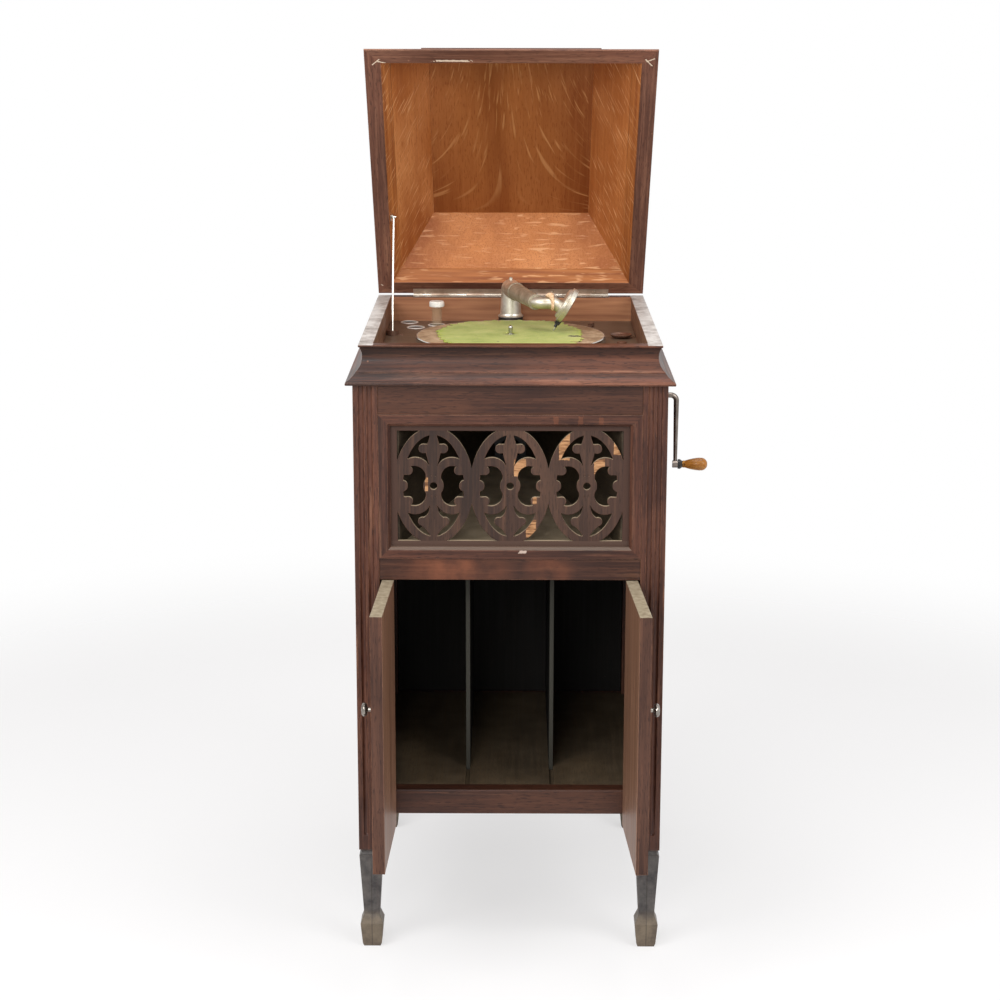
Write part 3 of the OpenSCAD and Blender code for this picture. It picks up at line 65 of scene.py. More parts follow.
# Turntable: the felt's hole, its widest edge inside the rolled rim, and where that rim starts to
# shine and is bright
FELT_HOLE, FELT_WIDEST, RIM_START, RIM_FULL = 0.0056, 0.1483, 0.1492, 0.1512
# Posts: the middle of a leg off the cabinet's middle, and the heights where leg and foot begin
LEG_MIDDLE, LEG_TOP, FOOT_TOP = 0.2165, 0.161, 0.046
# Well: how far out the side members' tops begin, and how far back its back face lies at least
WELL_HALF, WELL_BACK = 0.2045, 0.2
DOOR_OPEN = {"left": -92, "right": 93}  # degrees from shut to the photo's open place
DOOR_INNER = 18.4 * MM  # from a hinge's pin to the door's inner face
LID_OPEN = math.radians(53.5)
# Lid's rim seen shut, from the hinge: half width, front, back and the width of a member
LID = JOINTS["lid_hinge"]["pos_m"]
LID_HALF, LID_LOW, LID_HIGH, RIM = 0.2265, -0.2565 - LID[1], 0.265 - LID[1], 0.025
LID_FRAME = (LID_HALF, LID_LOW, LID_HIGH, "y")
LID_MIDDLE = (0, (LID_LOW + LID_HIGH) / 2, 0.05)
FRET_OPEN = (0.17, 0.66275, 0.83275)  # half width, lowest and highest
FRET_REPAIRS = (  # middle (x, z) and half size of each place where the dark face has come off
    (0.0813, 0.8083, 0.0081, 0.0200), (0.1613, 0.8087, 0.0060, 0.0124),
    (0.1341, 0.7781, 0.0082, 0.0120), (0.0147, 0.7762, 0.0090, 0.0135),
    (0.0370, 0.7272, 0.0031, 0.0070), (0.0317, 0.6814, 0.0075, 0.0139),
    (-0.1260, 0.7504, 0.0023, 0.0104))
RIM_MARKS = (  # middle (x, y), half size in mm and turn of each open mitre or rubbed place
    (-0.209, -0.501, 8, 0.9, -44), (-0.2006, -0.501, 6.4, 1.0, 13), (0.2122, -0.5004, 8, 0.9, 50),
    (0.2143, -0.5052, 6.5, 0.9, -26), (-0.0914, -0.5036, 27, 1.5, 0), (-0.22, -0.0224, 2.5, 0.9, 40))
FELT_SPOTS = (  # middle (x, y) and half size in mm of the large dark holes
    (0.102, 0.001, 9.5, 5.5), (0.104, -0.052, 10, 5), (-0.0198, -0.0543, 1.6, 3))
HINGE_SCREWS = (-0.1458, -0.0733, -0.0008, 0.0717, 0.1426)  # places along the long hinge
HINGE_BACK = 7.8 * MM  # from the long hinge's pin to its screws
CUP_RIM, FERRULE_BLACK = 1.5 * MM, 7.2 * MM  # bright edge of a cup, black part of the ferrule
# The photo's camera, fitted to the cabinet's edges: place, focal length over sensor width, and
# pitch, yaw and roll in degrees
CAMERA_PLACE, CAMERA_ZOOM = (0.001622, -3.456388, 1.500228), 2.182902
CAMERA_TURN = (13.594, 0.302, -0.073)
# Studio floor: where it begins to fade and is gone, and the white share that the eye sees
FADE_START, FADE_END, FLOOR_LIFT = 1.3, 2.3, 0.6


# ---------------------------------------------------------------- colours and nodes

def linear(hex_colour):
    """sRGB hex to linear RGBA: c/12.92 below 0.04045, else ((c + 0.055)/1.055)^2.4."""
    c = np.array([int(hex_colour[i:i + 2], 16) for i in (0, 2, 4)]) / 255
    rgb = np.where(c <= 0.04045, c / 12.92, ((c + 0.055) / 1.055) ** 2.4)
    return (*(float(v) for v in rgb), 1.0)


def add(tree, kind, inputs=None, stops=None, **settings):
    """Adds a node. In inputs a socket is linked, a node gives its first live output, a hex colour
    is turned to linear, and any other value is set; stops are a ramp's."""
    n = tree.nodes.new("ShaderNode" + kind)
    for key, value in settings.items():
        setattr(n, key, value)
    for key, value in (inputs or {}).items():
        if isinstance(value, bpy.types.Node):
            value = next(out for out in value.outputs if out.enabled)
        if isinstance(value, bpy.types.NodeSocket):
            tree.links.new(value, n.inputs[key])
        else:
            n.inputs[key].default_value = linear(value) if isinstance(value, str) else value
    if stops:
        ramp = n.color_ramp
        while len(ramp.elements) < len(stops):
            ramp.elements.new(0.5)
        for element, (place, colour) in zip(ramp.elements, stops):
            element.position = place
            element.color = linear(colour)
    return n


def finish(name):
    """A new material with an empty tree, and its Object coordinates."""
    m = bpy.data.materials.new(name)
    m.use_nodes = True
    m.node_tree.nodes.clear()
    return m, m.node_tree, add(m.node_tree, "TexCoord").outputs["Object"]


def shaded(tree, **sockets):
    """Ends a tree in a Principled shader; a name's underscores stand for spaces."""
    shader = add(tree, "BsdfPrincipled", {k.replace("_", " "): v for k, v in sockets.items()})
    add(tree, "OutputMaterial", {"Surface": shader})


# ---------------------------------------------------------------- wood

def facing(t):
    """The x, y and z of the way a face looks."""
    return add(t, "SeparateXYZ", {0: add(t, "NewGeometry").outputs["Normal"]}).outputs


def from_edges(t, x, run, half, low, high):
    """How far a place lies outside a rectangle's sides and its ends; less than 0 is inside."""
    side = add(t, "Math", {0: x}, operation="ABSOLUTE")
    side = add(t, "Math", {0: side, 1: half}, operation="SUBTRACT")
    end = add(t, "Math", {0: run, 1: (low + high) / 2}, operation="SUBTRACT")
    end = add(t, "Math", {0: end}, operation="ABSOLUTE")
    return side, add(t, "Math", {0: end, 1: (high - low) / 2}, operation="SUBTRACT")


def inside_rim(t, v):
    """1 within the lid's opening, 0 on its rim, parted 0.3 mm inside the rim's inner edge."""
    x, y, z = add(t, "SeparateXYZ", {0: v}).outputs
    side, end = from_edges(t, x, y, *LID_FRAME[:3])
    far = add(t, "Math", {0: side, 1: end}, operation="MAXIMUM")
    return add(t, "Math", {0: far, 1: -RIM - 0.3 * MM}, operation="LESS_THAN")


def grain_vector(t, v, grain, mitre=None):
    """Coordinates with the grain along the first part. mitre = (half width, lowest, highest, axis)
    of a frame whose side members run along that axis."""
    x, y, z = add(t, "SeparateXYZ", {0: v}).outputs
    order = {"x": (x, y, z), "y": (y, x, z), "z": (z, x, y)}[grain]
    out = add(t, "CombineXYZ", dict(enumerate(order)))
    if not mitre:
        return out
    half, low, high, axis = mitre
    run, rest = (y, z) if axis == "y" else (z, y)
    side, end = from_edges(t, x, run, half, low, high)
    is_side = add(t, "Math", {0: side, 1: end}, operation="GREATER_THAN")
    other = add(t, "CombineXYZ", {0: run, 1: x, 2: rest})
    return add(t, "Mix", {0: is_side, 4: out, 5: other}, data_type="VECTOR")


def stretched(t, v, scale, detail, distortion=0.0):
    """Noise stretched along the grain: scale is its waves a metre along each coordinate."""
    p = add(t, "VectorMath", {0: v, 1: scale}, operation="MULTIPLY")
    return add(t, "TexNoise", {"Vector": p, "Scale": 1.0, "Detail": detail, "Distortion": distortion})


def flecked(t, v, base, along, scale, most, colour):
    """Pale flecks of quarter-sawn oak: the peaks of a noise stretched along the given coordinates,
    thicker in some places than in others."""
    p = stretched(t, along, scale, 1.5, 0.5)
    p = add(t, "MapRange", {0: p, 1: 0.58, 2: 0.67, 4: most})
    where = add(t, "TexNoise", {"Vector": v, "Scale": 11.0, "Detail": 2.0})
    where = add(t, "MapRange", {0: where, 1: 0.36, 2: 0.56, 3: 0.15})
    p = add(t, "Math", {0: p, 1: where}, operation="MULTIPLY")
    return add(t, "Mix", {0: p, 6: base, 7: colour}, data_type="RGBA")


def sawn_oak(name, dark, mid, light, grain="z", turned=None, mitre=None, rays=0.0, ray_colour="c98a58",
             ray_scale=(30, 0, 260), flow=None, worn=0.4, worn_colour="a9785c", rough=(0.36, 0.5),
             seed=0.0, dust=0.0, streaks=0.3, lines=0.42, marks=None):
    """Oak under an old stain: long grain, open pores, a satin coat, stain rubbed off in streaks and
    along the edges, small nicks. A grain line is drawn 4 mm wide, coarser than real, or it wouldn't
    show. rays adds quarter-sawn oak's pale flecks.

    turned = (place, rotation) takes an open lid or door back to its shut place; flow turns those
    coordinates into ones that run along the flecks; marks yields masks and the colours that they
    lay over the wood, and may name the way in which one is blended."""
    m, t, v = finish(name)
    if turned:
        v = add(t, "Mapping", {"Vector": v, "Location": turned[0], "Rotation": turned[1]},
                vector_type="TEXTURE")
    g = grain_vector(t, v, grain, mitre)
    g = add(t, "VectorMath", {0: g, 1: (seed, seed * 1.7, seed * 0.6)}, operation="ADD")
    base, heights = None, []
    for colour, scale, low, high, most, detail in (  # waves a metre: along, across and through the grain
            (mid, (2.0, 10, 10), 0.34, 0.62, 1.0, 3.0),
            (light, (3.5, 8, 8), 0.5, 0.74, 0.8, 4.0),
            (dark, (2.6, 30, 30), 0.52, 0.74, 0.35, 3.0),
            (light, (6, 230, 230), 0.45, 0.66, lines, 4.0),
            (worn_colour, (4, 95, 95), 0.6, 0.76, streaks, 4.0),
            (dark, (14, 330, 330), 0.5, 0.66, lines, 3.0),
            (dark, (70, 560, 560), 0.56, 0.66, 0.7, 2.0)):
        heights.append(stretched(t, g, scale, detail, 0.3))
        p = add(t, "MapRange", {0: heights[-1], 1: low, 2: high, 4: most})
        base = add(t, "Mix", {0: p, 6: base or dark, 7: colour}, data_type="RGBA")
    if rays:
        base = flecked(t, v, base, flow(t, v) if flow else g, ray_scale, rays, ray_colour)
    edge = add(t, "Bevel", {"Radius": 1.6 * MM}, samples=6)
    face = add(t, "NewGeometry").outputs["Normal"]
    soft = add(t, "VectorMath", {0: edge, 1: face}, operation="DOT_PRODUCT")
    rubbed = add(t, "MapRange", {0: soft, 1: 0.995, 2: 0.86, 3: 0.0, 4: worn})
    scuff = add(t, "TexNoise", {"Vector": v, "Scale": 38.0, "Detail": 5.0, "Roughness": 0.7})
    scuff = add(t, "MapRange", {0: scuff, 1: 0.4, 2: 0.58})
    rubbed = add(t, "Math", {0: rubbed, 1: scuff}, operation="MULTIPLY")
    nick = add(t, "TexVoronoi", {"Vector": v, "Scale": 13.0})
    nick = add(t, "MapRange", {0: nick, 1: 0.024, 2: 0.015, 4: worn})
    rubbed = add(t, "Math", {0: rubbed, 1: nick}, operation="MAXIMUM")
    base = add(t, "Mix", {0: rubbed, 6: base, 7: worn_colour}, data_type="RGBA")
    for mask, colour, *blend in marks(t, v) if marks else ():
        base = add(t, "Mix", {0: mask, 6: base, 7: colour}, data_type="RGBA",
                   blend_type=blend[0] if blend else "MIX")
    # Paler where a face looks up: dust, and where it is set high, as on the horn, painted light from
    # above
    if dust:
        dust_and_top_light = add(t, "SeparateXYZ", {0: face}).outputs[2]
        dust_and_top_light = add(t, "MapRange", {0: dust_and_top_light, 1: 0.5, 2: 1.0, 4: dust})
        spread = add(t, "TexNoise", {"Vector": v, "Scale": 26.0, "Detail": 6.0})
        dust_and_top_light = add(t, "Math", {0: dust_and_top_light, 1: spread}, operation="MULTIPLY")
        base = add(t, "Mix", {0: dust_and_top_light, 6: base, 7: "ad9a80"}, data_type="RGBA")
    shine = add(t, "MapRange", {0: heights[3], 1: 0.3, 2: 0.7, 3: rough[0], 4: rough[1]})
    low = add(t, "Bump", {"Height": heights[-1], "Strength": 0.25, "Distance": 0.3 * MM, "Normal": edge},
              invert=True)
    low = add(t, "Bump", {"Height": heights[3], "Strength": 0.18, "Distance": 0.4 * MM, "Normal": low})
    shaded(t, Base_Color=base, Roughness=shine, Normal=low, Specular_IOR_Level=0.3)
    return m


def box_mask(t, v, centre, half, ragged=0.12, turn=0.0):
    """1 in a box with a slightly ragged edge: the largest of |offset| over half size is below 1."""
    off = add(t, "Mapping", {"Vector": v, "Location": centre, "Rotation": (0, 0, turn)},
              vector_type="TEXTURE")
    off = add(t, "VectorMath", {0: off, 1: half}, operation="DIVIDE")
    off = add(t, "VectorMath", {0: off}, operation="ABSOLUTE")
    x, y, z = add(t, "SeparateXYZ", {0: off}).outputs
    far = add(t, "Math", {0: x, 1: y}, operation="MAXIMUM")
    far = add(t, "Math", {0: far, 1: z}, operation="MAXIMUM")
    wander = add(t, "TexNoise", {"Vector": v, "Scale": 260.0, "Detail": 3.0})
    far = add(t, "Math", {0: wander, 1: 2 * ragged, 2: far}, operation="MULTIPLY_ADD")
    return add(t, "MapRange", {0: far, 1: 1.02 + ragged, 2: 0.98 + ragged})


def fret_marks(t, v):
    """Bare cracked oak where the face has come off, painted light and shade on the sawn edges (pale
    looking up, dark looking down), a dark border.
    """
    x, y, z = add(t, "SeparateXYZ", {0: v}).outputs
    half, lowest, highest = FRET_OPEN
    side = add(t, "Math", {0: x}, operation="ABSOLUTE")
    side = add(t, "Math", {0: side, 1: half + 0.2 * MM}, operation="GREATER_THAN")
    up = add(t, "Math", {0: z, 1: highest + 0.2 * MM}, operation="GREATER_THAN")
    low = add(t, "Math", {0: z, 1: lowest - 0.2 * MM}, operation="LESS_THAN")
    yield add(t, "Math", {0: side, 1: up}, operation="MAXIMUM"), "432c22"
    yield low, "4c372d"
    cracks = stretched(t, v, (60, 60, 420), 3.0)
    raw = add(t, "ValToRGB", {0: cracks}, stops=[(0.36, "5f3d24"), (0.44, "8f6440"), (0.62, "b98a60")])
    for x, z, wide, high in FRET_REPAIRS:
        yield box_mask(t, v, (x, FRONT_Y, z), (wide, 1, high)), raw
    # Sawn edges painted pale where they look up and dark where they look down: painted light and shade
    x, y, z = facing(t)
    pale = add(t, "MapRange", {0: z, 1: 0.05, 2: 0.8})
    pale = add(t, "Mix", {0: pale, 6: "2e2018", 7: "b3a084"}, data_type="RGBA")
    y = add(t, "Math", {0: y}, operation="ABSOLUTE")
    yield add(t, "Math", {0: y, 1: 0.5}, operation="LESS_THAN"), pale


def grille_marks(t, v):
    """A chip on the lower member, faint worn places on the upper one, and painted light on faces that
    look up, as on the lower bevel.
    """
    for x in (0.0683, 0.1050, 0.1355):
        worn = box_mask(t, v, (x, FRONT_Y, 0.8505), (3.6 * MM, 1, 6.5 * MM), 0.9)
        yield add(t, "Math", {0: worn, 1: 0.18}, operation="MULTIPLY"), "9a5a3a"
    # Painted light: faces that look up, such as the lower bevel, painted paler as if lit from above
    yield add(t, "MapRange", {0: facing(t)[2], 1: 0.3, 2: 0.6, 4: 0.6}), "705f52"
    yield box_mask(t, v, (0.019, FRONT_Y, 0.6478), (5.8 * MM, 1, 2.2 * MM), 0.6), "b8a496"


def rail_marks(t, v):
    """Redder patches where the rail over the doors has been handled."""
    soft = add(t, "TexNoise", {"Vector": v, "Scale": 22.0, "Detail": 5.0})
    soft = add(t, "MapRange", {0: soft, 1: 0.35, 2: 0.7, 4: 0.6})
    for x, wide in ((-0.085, 0.1), (0.06, 0.045)):  # middle and radius
        far = add(t, "VectorMath", {0: v, 1: (x, FRONT_Y, 0.62)}, operation="DISTANCE")
        near = add(t, "MapRange", {0: far, 1: wide, 2: 0.2 * wide})
        yield add(t, "Math", {0: near, 1: soft}, operation="MULTIPLY"), "97593c"


def rim_marks(t, v):
    """Golden oak on the rim's inner slope, open mitres at the two front corners, rubbed places."""
    g = stretched(t, grain_vector(t, v, "x", LID_FRAME), (6, 170, 170), 5.0)
    lining = add(t, "ValToRGB", {0: g}, stops=[(0.32, "8a4a22"), (0.66, "b8733d")])
    lining = flecked(t, v, lining, wall_flow(t, v), (30, 0, 260), 0.6, "eab482")
    yield inside_rim(t, v), lining
    for x, y, long, wide, turn in RIM_MARKS:
        half = (long * MM, wide * MM, 1)
        yield box_mask(t, v, (x, y, 0), half, 0.9, math.radians(turn)), "d8c3ac"


def lid_outside(mitre=None):
    """Dark stain where a face looks away from the lid's middle; the lining stays golden."""
    def marks(t, v):
        n = add(t, "TexCoord").outputs["Normal"]
        n = add(t, "Mapping", {"Vector": n, "Rotation": (-LID_OPEN, 0, 0)}, vector_type="TEXTURE")
        off = add(t, "VectorMath", {0: v, 1: LID_MIDDLE}, operation="SUBTRACT")
        off = add(t, "VectorMath", {0: n, 1: off}, operation="DOT_PRODUCT")
        off = add(t, "Math", {0: off, 1: 0.0}, operation="GREATER_THAN")
        g = stretched(t, grain_vector(t, v, "x", mitre), (5, 150, 150), 4.0)
        stain = add(t, "ValToRGB", {0: g}, stops=[(0.32, "351e16"), (0.5, "4d2e22"), (0.72, "6b4434")])
        yield off, stain
    return marks


def cornice_marks(t, v):
    """Painted shade and dirt in bands along the moulding, golden oak on the well's back, worn tops at
    the sides.
    """
    lo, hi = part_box("cornice")
    x, y, z = add(t, "SeparateXYZ", {0: v}).outputs
    nx, ny, nz = facing(t)
    up = add(t, "MapRange", {0: z, 1: float(lo[2]), 2: float(hi[2])})
    # Multiplied over the wood: bands of painted shade where the moulding's profile turns from the light,
    # and dirt in the band under the top edge
    dirt_and_painted_shade = add(t, "ValToRGB", {0: up}, stops=[
        (0.0, "b0a8a4"), (0.06, "ffffff"), (0.15, "e6d4cc"), (0.22, "a8a09c"), (0.28, "a8a09c"),
        (0.33, "ffffff"), (0.4, "d0c8c4"), (0.66, "d8d0cc"), (0.78, "8e8682"), (0.93, "96908c"),
        (0.975, "fff4ee")])
    yield 0.9, dirt_and_painted_shade, "MULTIPLY"
    blot = add(t, "TexNoise", {"Vector": v, "Scale": 34.0, "Detail": 6.0, "Roughness": 0.65})
    run = stretched(t, v, (7, 9, 150), 4.0)
    golden = add(t, "ValToRGB", {0: run}, stops=[(0.3, "86553a"), (0.7, "ab7753")])
    brown = add(t, "ValToRGB", {0: blot}, stops=[(0.34, "54382a"), (0.66, "86604a")])
    pale = add(t, "ValToRGB", {0: blot}, stops=[(0.34, "857a72"), (0.47, "b4aba4"), (0.6, "d2ccc6")])
    back = add(t, "Math", {0: ny, 1: -0.5}, operation="LESS_THAN")
    behind = add(t, "Math", {0: y, 1: WELL_BACK}, operation="GREATER_THAN")
    back = add(t, "Math", {0: back, 1: behind}, operation="MULTIPLY")
    inward = add(t, "Math", {0: nx, 1: x}, operation="MULTIPLY")
    inward = add(t, "Math", {0: inward, 1: -0.1}, operation="LESS_THAN")
    side = add(t, "Math", {0: x}, operation="ABSOLUTE")
    side = add(t, "Math", {0: side, 1: WELL_HALF}, operation="GREATER_THAN")
    top = add(t, "Math", {0: nz, 1: 0.9}, operation="GREATER_THAN")
    top = add(t, "Math", {0: top, 1: side}, operation="MULTIPLY")
    high = add(t, "Math", {0: z, 1: float(hi[2]) - MM}, operation="GREATER_THAN")
    top = add(t, "Math", {0: top, 1: high}, operation="MULTIPLY")
    yield from ((back, golden), (inward, brown), (top, pale))


def leg_marks(t, v):
    """Legs faded to a cold grey, tan dust on the feet, and the dark glue line down their middle."""
    x, y, z = add(t, "SeparateXYZ", {0: v}).outputs
    low = add(t, "MapRange", {0: z, 1: LEG_TOP + 6 * MM, 2: LEG_TOP, 4: 0.85})
    foot = add(t, "MapRange", {0: z, 1: FOOT_TOP + 16 * MM, 2: FOOT_TOP, 4: 0.9})
    grey = add(t, "TexNoise", {"Vector": v, "Scale": 45.0, "Detail": 6.0, "Roughness": 0.7})
    tan = add(t, "ValToRGB", {0: grey}, stops=[(0.35, "54493e"), (0.65, "736655")])
    grey = add(t, "ValToRGB", {0: grey}, stops=[(0.35, "343536"), (0.65, "5b5956")])
    yield low, grey
    yield foot, tan
    seam = add(t, "Math", {0: x}, operation="ABSOLUTE")
    seam = add(t, "Math", {0: seam, 1: LEG_MIDDLE}, operation="SUBTRACT")
    seam = add(t, "Math", {0: seam}, operation="ABSOLUTE")
    seam = add(t, "MapRange", {0: seam, 1: 0.9 * MM, 2: 0.5 * MM, 4: 0.6})
    yield add(t, "Math", {0: seam, 1: low}, operation="MULTIPLY"), "241d19"


def back_marks(t, v):
    """Brown stain on the back panel's outer face; its inside is near black, dark stain with painted
    shade.
    """
    run = stretched(t, v, (120, 120, 5), 4.0)
    brown = add(t, "ValToRGB", {0: run}, stops=[(0.32, "3a251b"), (0.7, "6d5040")])
    yield add(t, "Math", {0: facing(t)[1], 1: 0.9}, operation="GREATER_THAN"), brown


def divider_marks(t, v):
    """Paler front edge on the thin dividers, whose sides are near black: dark stain with painted shade.
    """
    yield add(t, "Math", {0: facing(t)[1], 1: -0.9}, operation="LESS_THAN"), "3d3c35"


def door_marks(top):
    """Bare oak on a door's top edge, and a paler, duller inner face."""
    def marks(t, v):
        x, y, z = add(t, "SeparateXYZ", {0: v}).outputs
        run = stretched(t, v, (130, 130, 4), 4.0)
        bare = add(t, "ValToRGB", {0: run}, stops=[(0.3, "867863"), (0.7, "ab9e86")])
        grey = add(t, "ValToRGB", {0: run}, stops=[(0.3, "6c4c39"), (0.7, "977059")])
        back = add(t, "Math", {0: y, 1: DOOR_INNER}, operation="GREATER_THAN")
        yield add(t, "Math", {0: back, 1: 0.85}, operation="MULTIPLY"), grey
        yield add(t, "Math", {0: z, 1: top}, operation="GREATER_THAN"), bare
    return marks


def panel_flow(t, v):
    """Flecks fanned over the lid's top panel from a point near its lower edge: with x and Y the
    ways from it they follow x times Y, and Y squared less x squared runs along them."""
    x, y, z = add(t, "SeparateXYZ", {0: v}).outputs
    middle, lower = -0.012, -0.085
    x = add(t, "Math", {0: x, 1: middle}, operation="SUBTRACT")
    y = add(t, "Math", {0: lower, 1: y}, operation="SUBTRACT")
    across = add(t, "Math", {0: x, 1: y}, operation="MULTIPLY")
    along = add(t, "Math", {0: y, 1: y}, operation="MULTIPLY")
    x = add(t, "Math", {0: x, 1: x}, operation="MULTIPLY")
    along = add(t, "Math", {0: along, 1: x}, operation="SUBTRACT")
    return add(t, "CombineXYZ", {0: along, 1: across})


def wall_flow(t, v):
    """Flecks on the lid's walls: along the back and front boards, slanting on the side ones."""
    x, y, z = add(t, "SeparateXYZ", {0: v}).outputs
    side, end = from_edges(t, x, y, *LID_FRAME[:3])
    side = add(t, "Math", {0: side, 1: end}, operation="GREATER_THAN")
    slant = add(t, "CombineXYZ", {0: y, 2: z})
    slant = add(t, "VectorRotate", {"Vector": slant, "Angle": math.radians(-42)}, rotation_type="Y_AXIS")
    level = add(t, "CombineXYZ", {0: x, 2: z})
    return add(t, "Mix", {0: side, 4: level, 5: slant}, data_type="VECTOR")


# ---------------------------------------------------------------- metal and the rest

def worked_metal(name, clean, dull, rough, metallic=1.0, spot=30.0, stain=0.5):
    """Plated or bare metal: clean metal with a duller tarnish in patches and fine rubbing. Plate
    that is worn or dirty is less than wholly metallic."""
    m, t, v = finish(name)
    patches = add(t, "TexNoise", {"Vector": v, "Scale": spot, "Detail": 6.0, "Roughness": 0.65})
    patches = add(t, "MapRange", {0: patches, 1: 0.5 - 0.3 * stain, 2: 0.78 - 0.2 * stain})
    fine = add(t, "TexNoise", {"Vector": v, "Scale": 900.0, "Detail": 2.0})
    colour = add(t, "Mix", {0: patches, 6: clean, 7: dull}, data_type="RGBA")
    both = add(t, "Math", {0: patches, 1: fine}, operation="MULTIPLY")
    shine = add(t, "MapRange", {0: both, 1: 0.0, 2: 0.7, 3: rough[0], 4: rough[1]})
    edge = add(t, "Bevel", {"Radius": 0.4 * MM}, samples=4)
    low = add(t, "Bump", {"Height": fine, "Strength": 0.06, "Distance": 0.1 * MM, "Normal": edge})
    shaded(t, Base_Color=colour, Metallic=metallic, Roughness=shine, Normal=low)
    return m


def platter_finish():
    """Turntable: steel browned where the felt's glue stayed, bright nickel left on its rim."""
    m, t, v = finish("turntable_worn_nickel")
    centre = JOINTS["turntable_turn"]["pos_m"]
    flat = add(t, "VectorMath", {0: v, 1: (centre[0], centre[1], 0)}, operation="SUBTRACT")
    flat = add(t, "VectorMath", {0: flat, 1: (1, 1, 0)}, operation="MULTIPLY")
    r = add(t, "VectorMath", {0: flat}, operation="LENGTH")
    wander = add(t, "TexNoise", {"Vector": v, "Scale": 48.0, "Detail": 7.0, "Roughness": 0.65})
    glue = add(t, "ValToRGB", {0: wander}, stops=[(0.3, "6d5138"), (0.48, "9c8063"), (0.6, "b59a7c"),
               (0.72, "cbb596")])
    rim = add(t, "MapRange", {0: r, 1: RIM_START, 2: RIM_FULL})
    colour = add(t, "Mix", {0: rim, 6: glue, 7: "d2cec6"}, data_type="RGBA")
    shine = add(t, "MapRange", {0: rim, 1: 0.0, 2: 1.0, 3: 0.62, 4: 0.2})
    shaded(t, Base_Color=colour, Metallic=rim, Roughness=shine)
    return m


def felt_finish(name="turntable_wool_felt"):
    """Worn wool felt: matt and hairy, faded unevenly, darker where it is pressed and torn. Hairs
    are drawn about 1 mm long."""
    m, t, v = finish(name)
    fade = add(t, "TexNoise", {"Vector": v, "Scale": 20.0, "Detail": 6.0, "Roughness": 0.6})
    hair = add(t, "TexNoise", {"Vector": v, "Scale": 1100.0, "Detail": 3.0, "Distortion": 1.0})
    colour = add(t, "ValToRGB", {0: fade}, stops=[(0.3, "8f9b40"), (0.46, "a9b158"), (0.6, "b9bc68"),
                 (0.76, "cbc983")])
    thick = add(t, "MapRange", {0: hair, 1: 0.35, 2: 0.65, 4: 0.35})
    colour = add(t, "Mix", {0: thick, 6: colour, 7: "7f8a34"}, data_type="RGBA")
    spots = add(t, "TexVoronoi", {"Vector": v, "Scale": 26.0})
    spots = add(t, "MapRange", {0: spots, 1: 0.055, 2: 0.02, 4: 0.8})
    for x, y, long, wide in FELT_SPOTS:
        hole = box_mask(t, v, (x, y, BOARD_TOP), (long * MM, wide * MM, 1), 0.6)
        spots = add(t, "Math", {0: spots, 1: hole}, operation="MAXIMUM")
    colour = add(t, "Mix", {0: spots, 6: colour, 7: "3b2a1a"}, data_type="RGBA")
    low = add(t, "Bump", {"Height": hair, "Strength": 0.5, "Distance": 0.4 * MM})
    shaded(t, Base_Color=colour, Roughness=0.95, Normal=low, Sheen_Weight=0.12, Specular_IOR_Level=0.15)
    return m


def plain(name, colour, shade, rough, scale, bump):
    """A dull even surface with a little mottling."""
    m, t, v = finish(name)
    mottle = add(t, "TexNoise", {"Vector": v, "Scale": scale, "Detail": 5.0})
    spread = add(t, "MapRange", {0: mottle, 1: 0.35, 2: 0.62})
    tint = add(t, "Mix", {0: spread, 6: shade, 7: colour}, data_type="RGBA")
    low = add(t, "Bump", {"Height": mottle, "Strength": bump, "Distance": 0.3 * MM})
    shaded(t, Base_Color=tint, Roughness=rough, Normal=low)
    return m


def two_tone(name, low_part, high_part, axis, place):
    """Two finishes on one solid, parted square to an axis at a place in metres."""
    m, t, v = finish(name)
    along = add(t, "SeparateXYZ", {0: v}).outputs[axis]
    high = add(t, "Math", {0: along, 1: place}, operation="GREATER_THAN")
    fine = add(t, "TexNoise", {"Vector": v, "Scale": 220.0, "Detail": 4.0})
    halves = []
    for colour, metallic, rough in (low_part, high_part):
        shine = add(t, "MapRange", {0: fine, 3: rough - 0.1, 4: rough + 0.15})
        halves.append(add(t, "BsdfPrincipled", {"Base Color": colour, "Metallic": metallic,
                      "Roughness": shine}))
    whole = add(t, "MixShader", {0: high, 1: halves[0], 2: halves[1]})
    add(t, "OutputMaterial", {"Surface": whole})
    return m


def paint(material, *names):
    """Gives CAD nodes a finish."""
    for n in names:
        NODES[n].data.materials.clear()
        NODES[n].data.materials.append(material)


# ---------------------------------------------------------------- new surfaces

def surface(name, grids, material, closed=True, tube=False, smooth=True):
    """One mesh from a grid of points (rows, columns, xyz) or several of one size. Faces join
    neighbours on the grid, the last row joins the first if closed, and the last column if a tube."""
    p = np.asarray(grids, float)
    p = p.reshape(-1, *p.shape[-3:])
    index = np.arange(p[..., 0].size).reshape(p.shape[:3])
    if closed:
        index = np.concatenate([index, index[:, :1]], 1)
    if tube:
        index = np.concatenate([index, index[:, :, :1]], 2)
    corners = (index[:, :-1, :-1], index[:, 1:, :-1], index[:, 1:, 1:], index[:, :-1, 1:])
    quads = np.stack(corners, -1).reshape(-1, 4)
    mesh = bpy.data.meshes.new(name)
    mesh.from_pydata(p.reshape(-1, 3).tolist(), [], quads.tolist())
    mesh.polygons.foreach_set("use_smooth", np.full(len(quads), smooth))
    mesh.update()
    mesh.materials.append(material)
    o = bpy.data.objects.new(name, mesh)
    bpy.context.scene.collection.objects.link(o)
    return o


def disc(radii, steps):
    """Rings of points round the z axis: x = r cos a, y = r sin a, z = 0."""
    a = np.linspace(0, 2 * np.pi, steps, endpoint=False)[:, None]
    return np.stack([np.cos(a) * radii, np.sin(a) * radii, 0 * a * radii], -1)


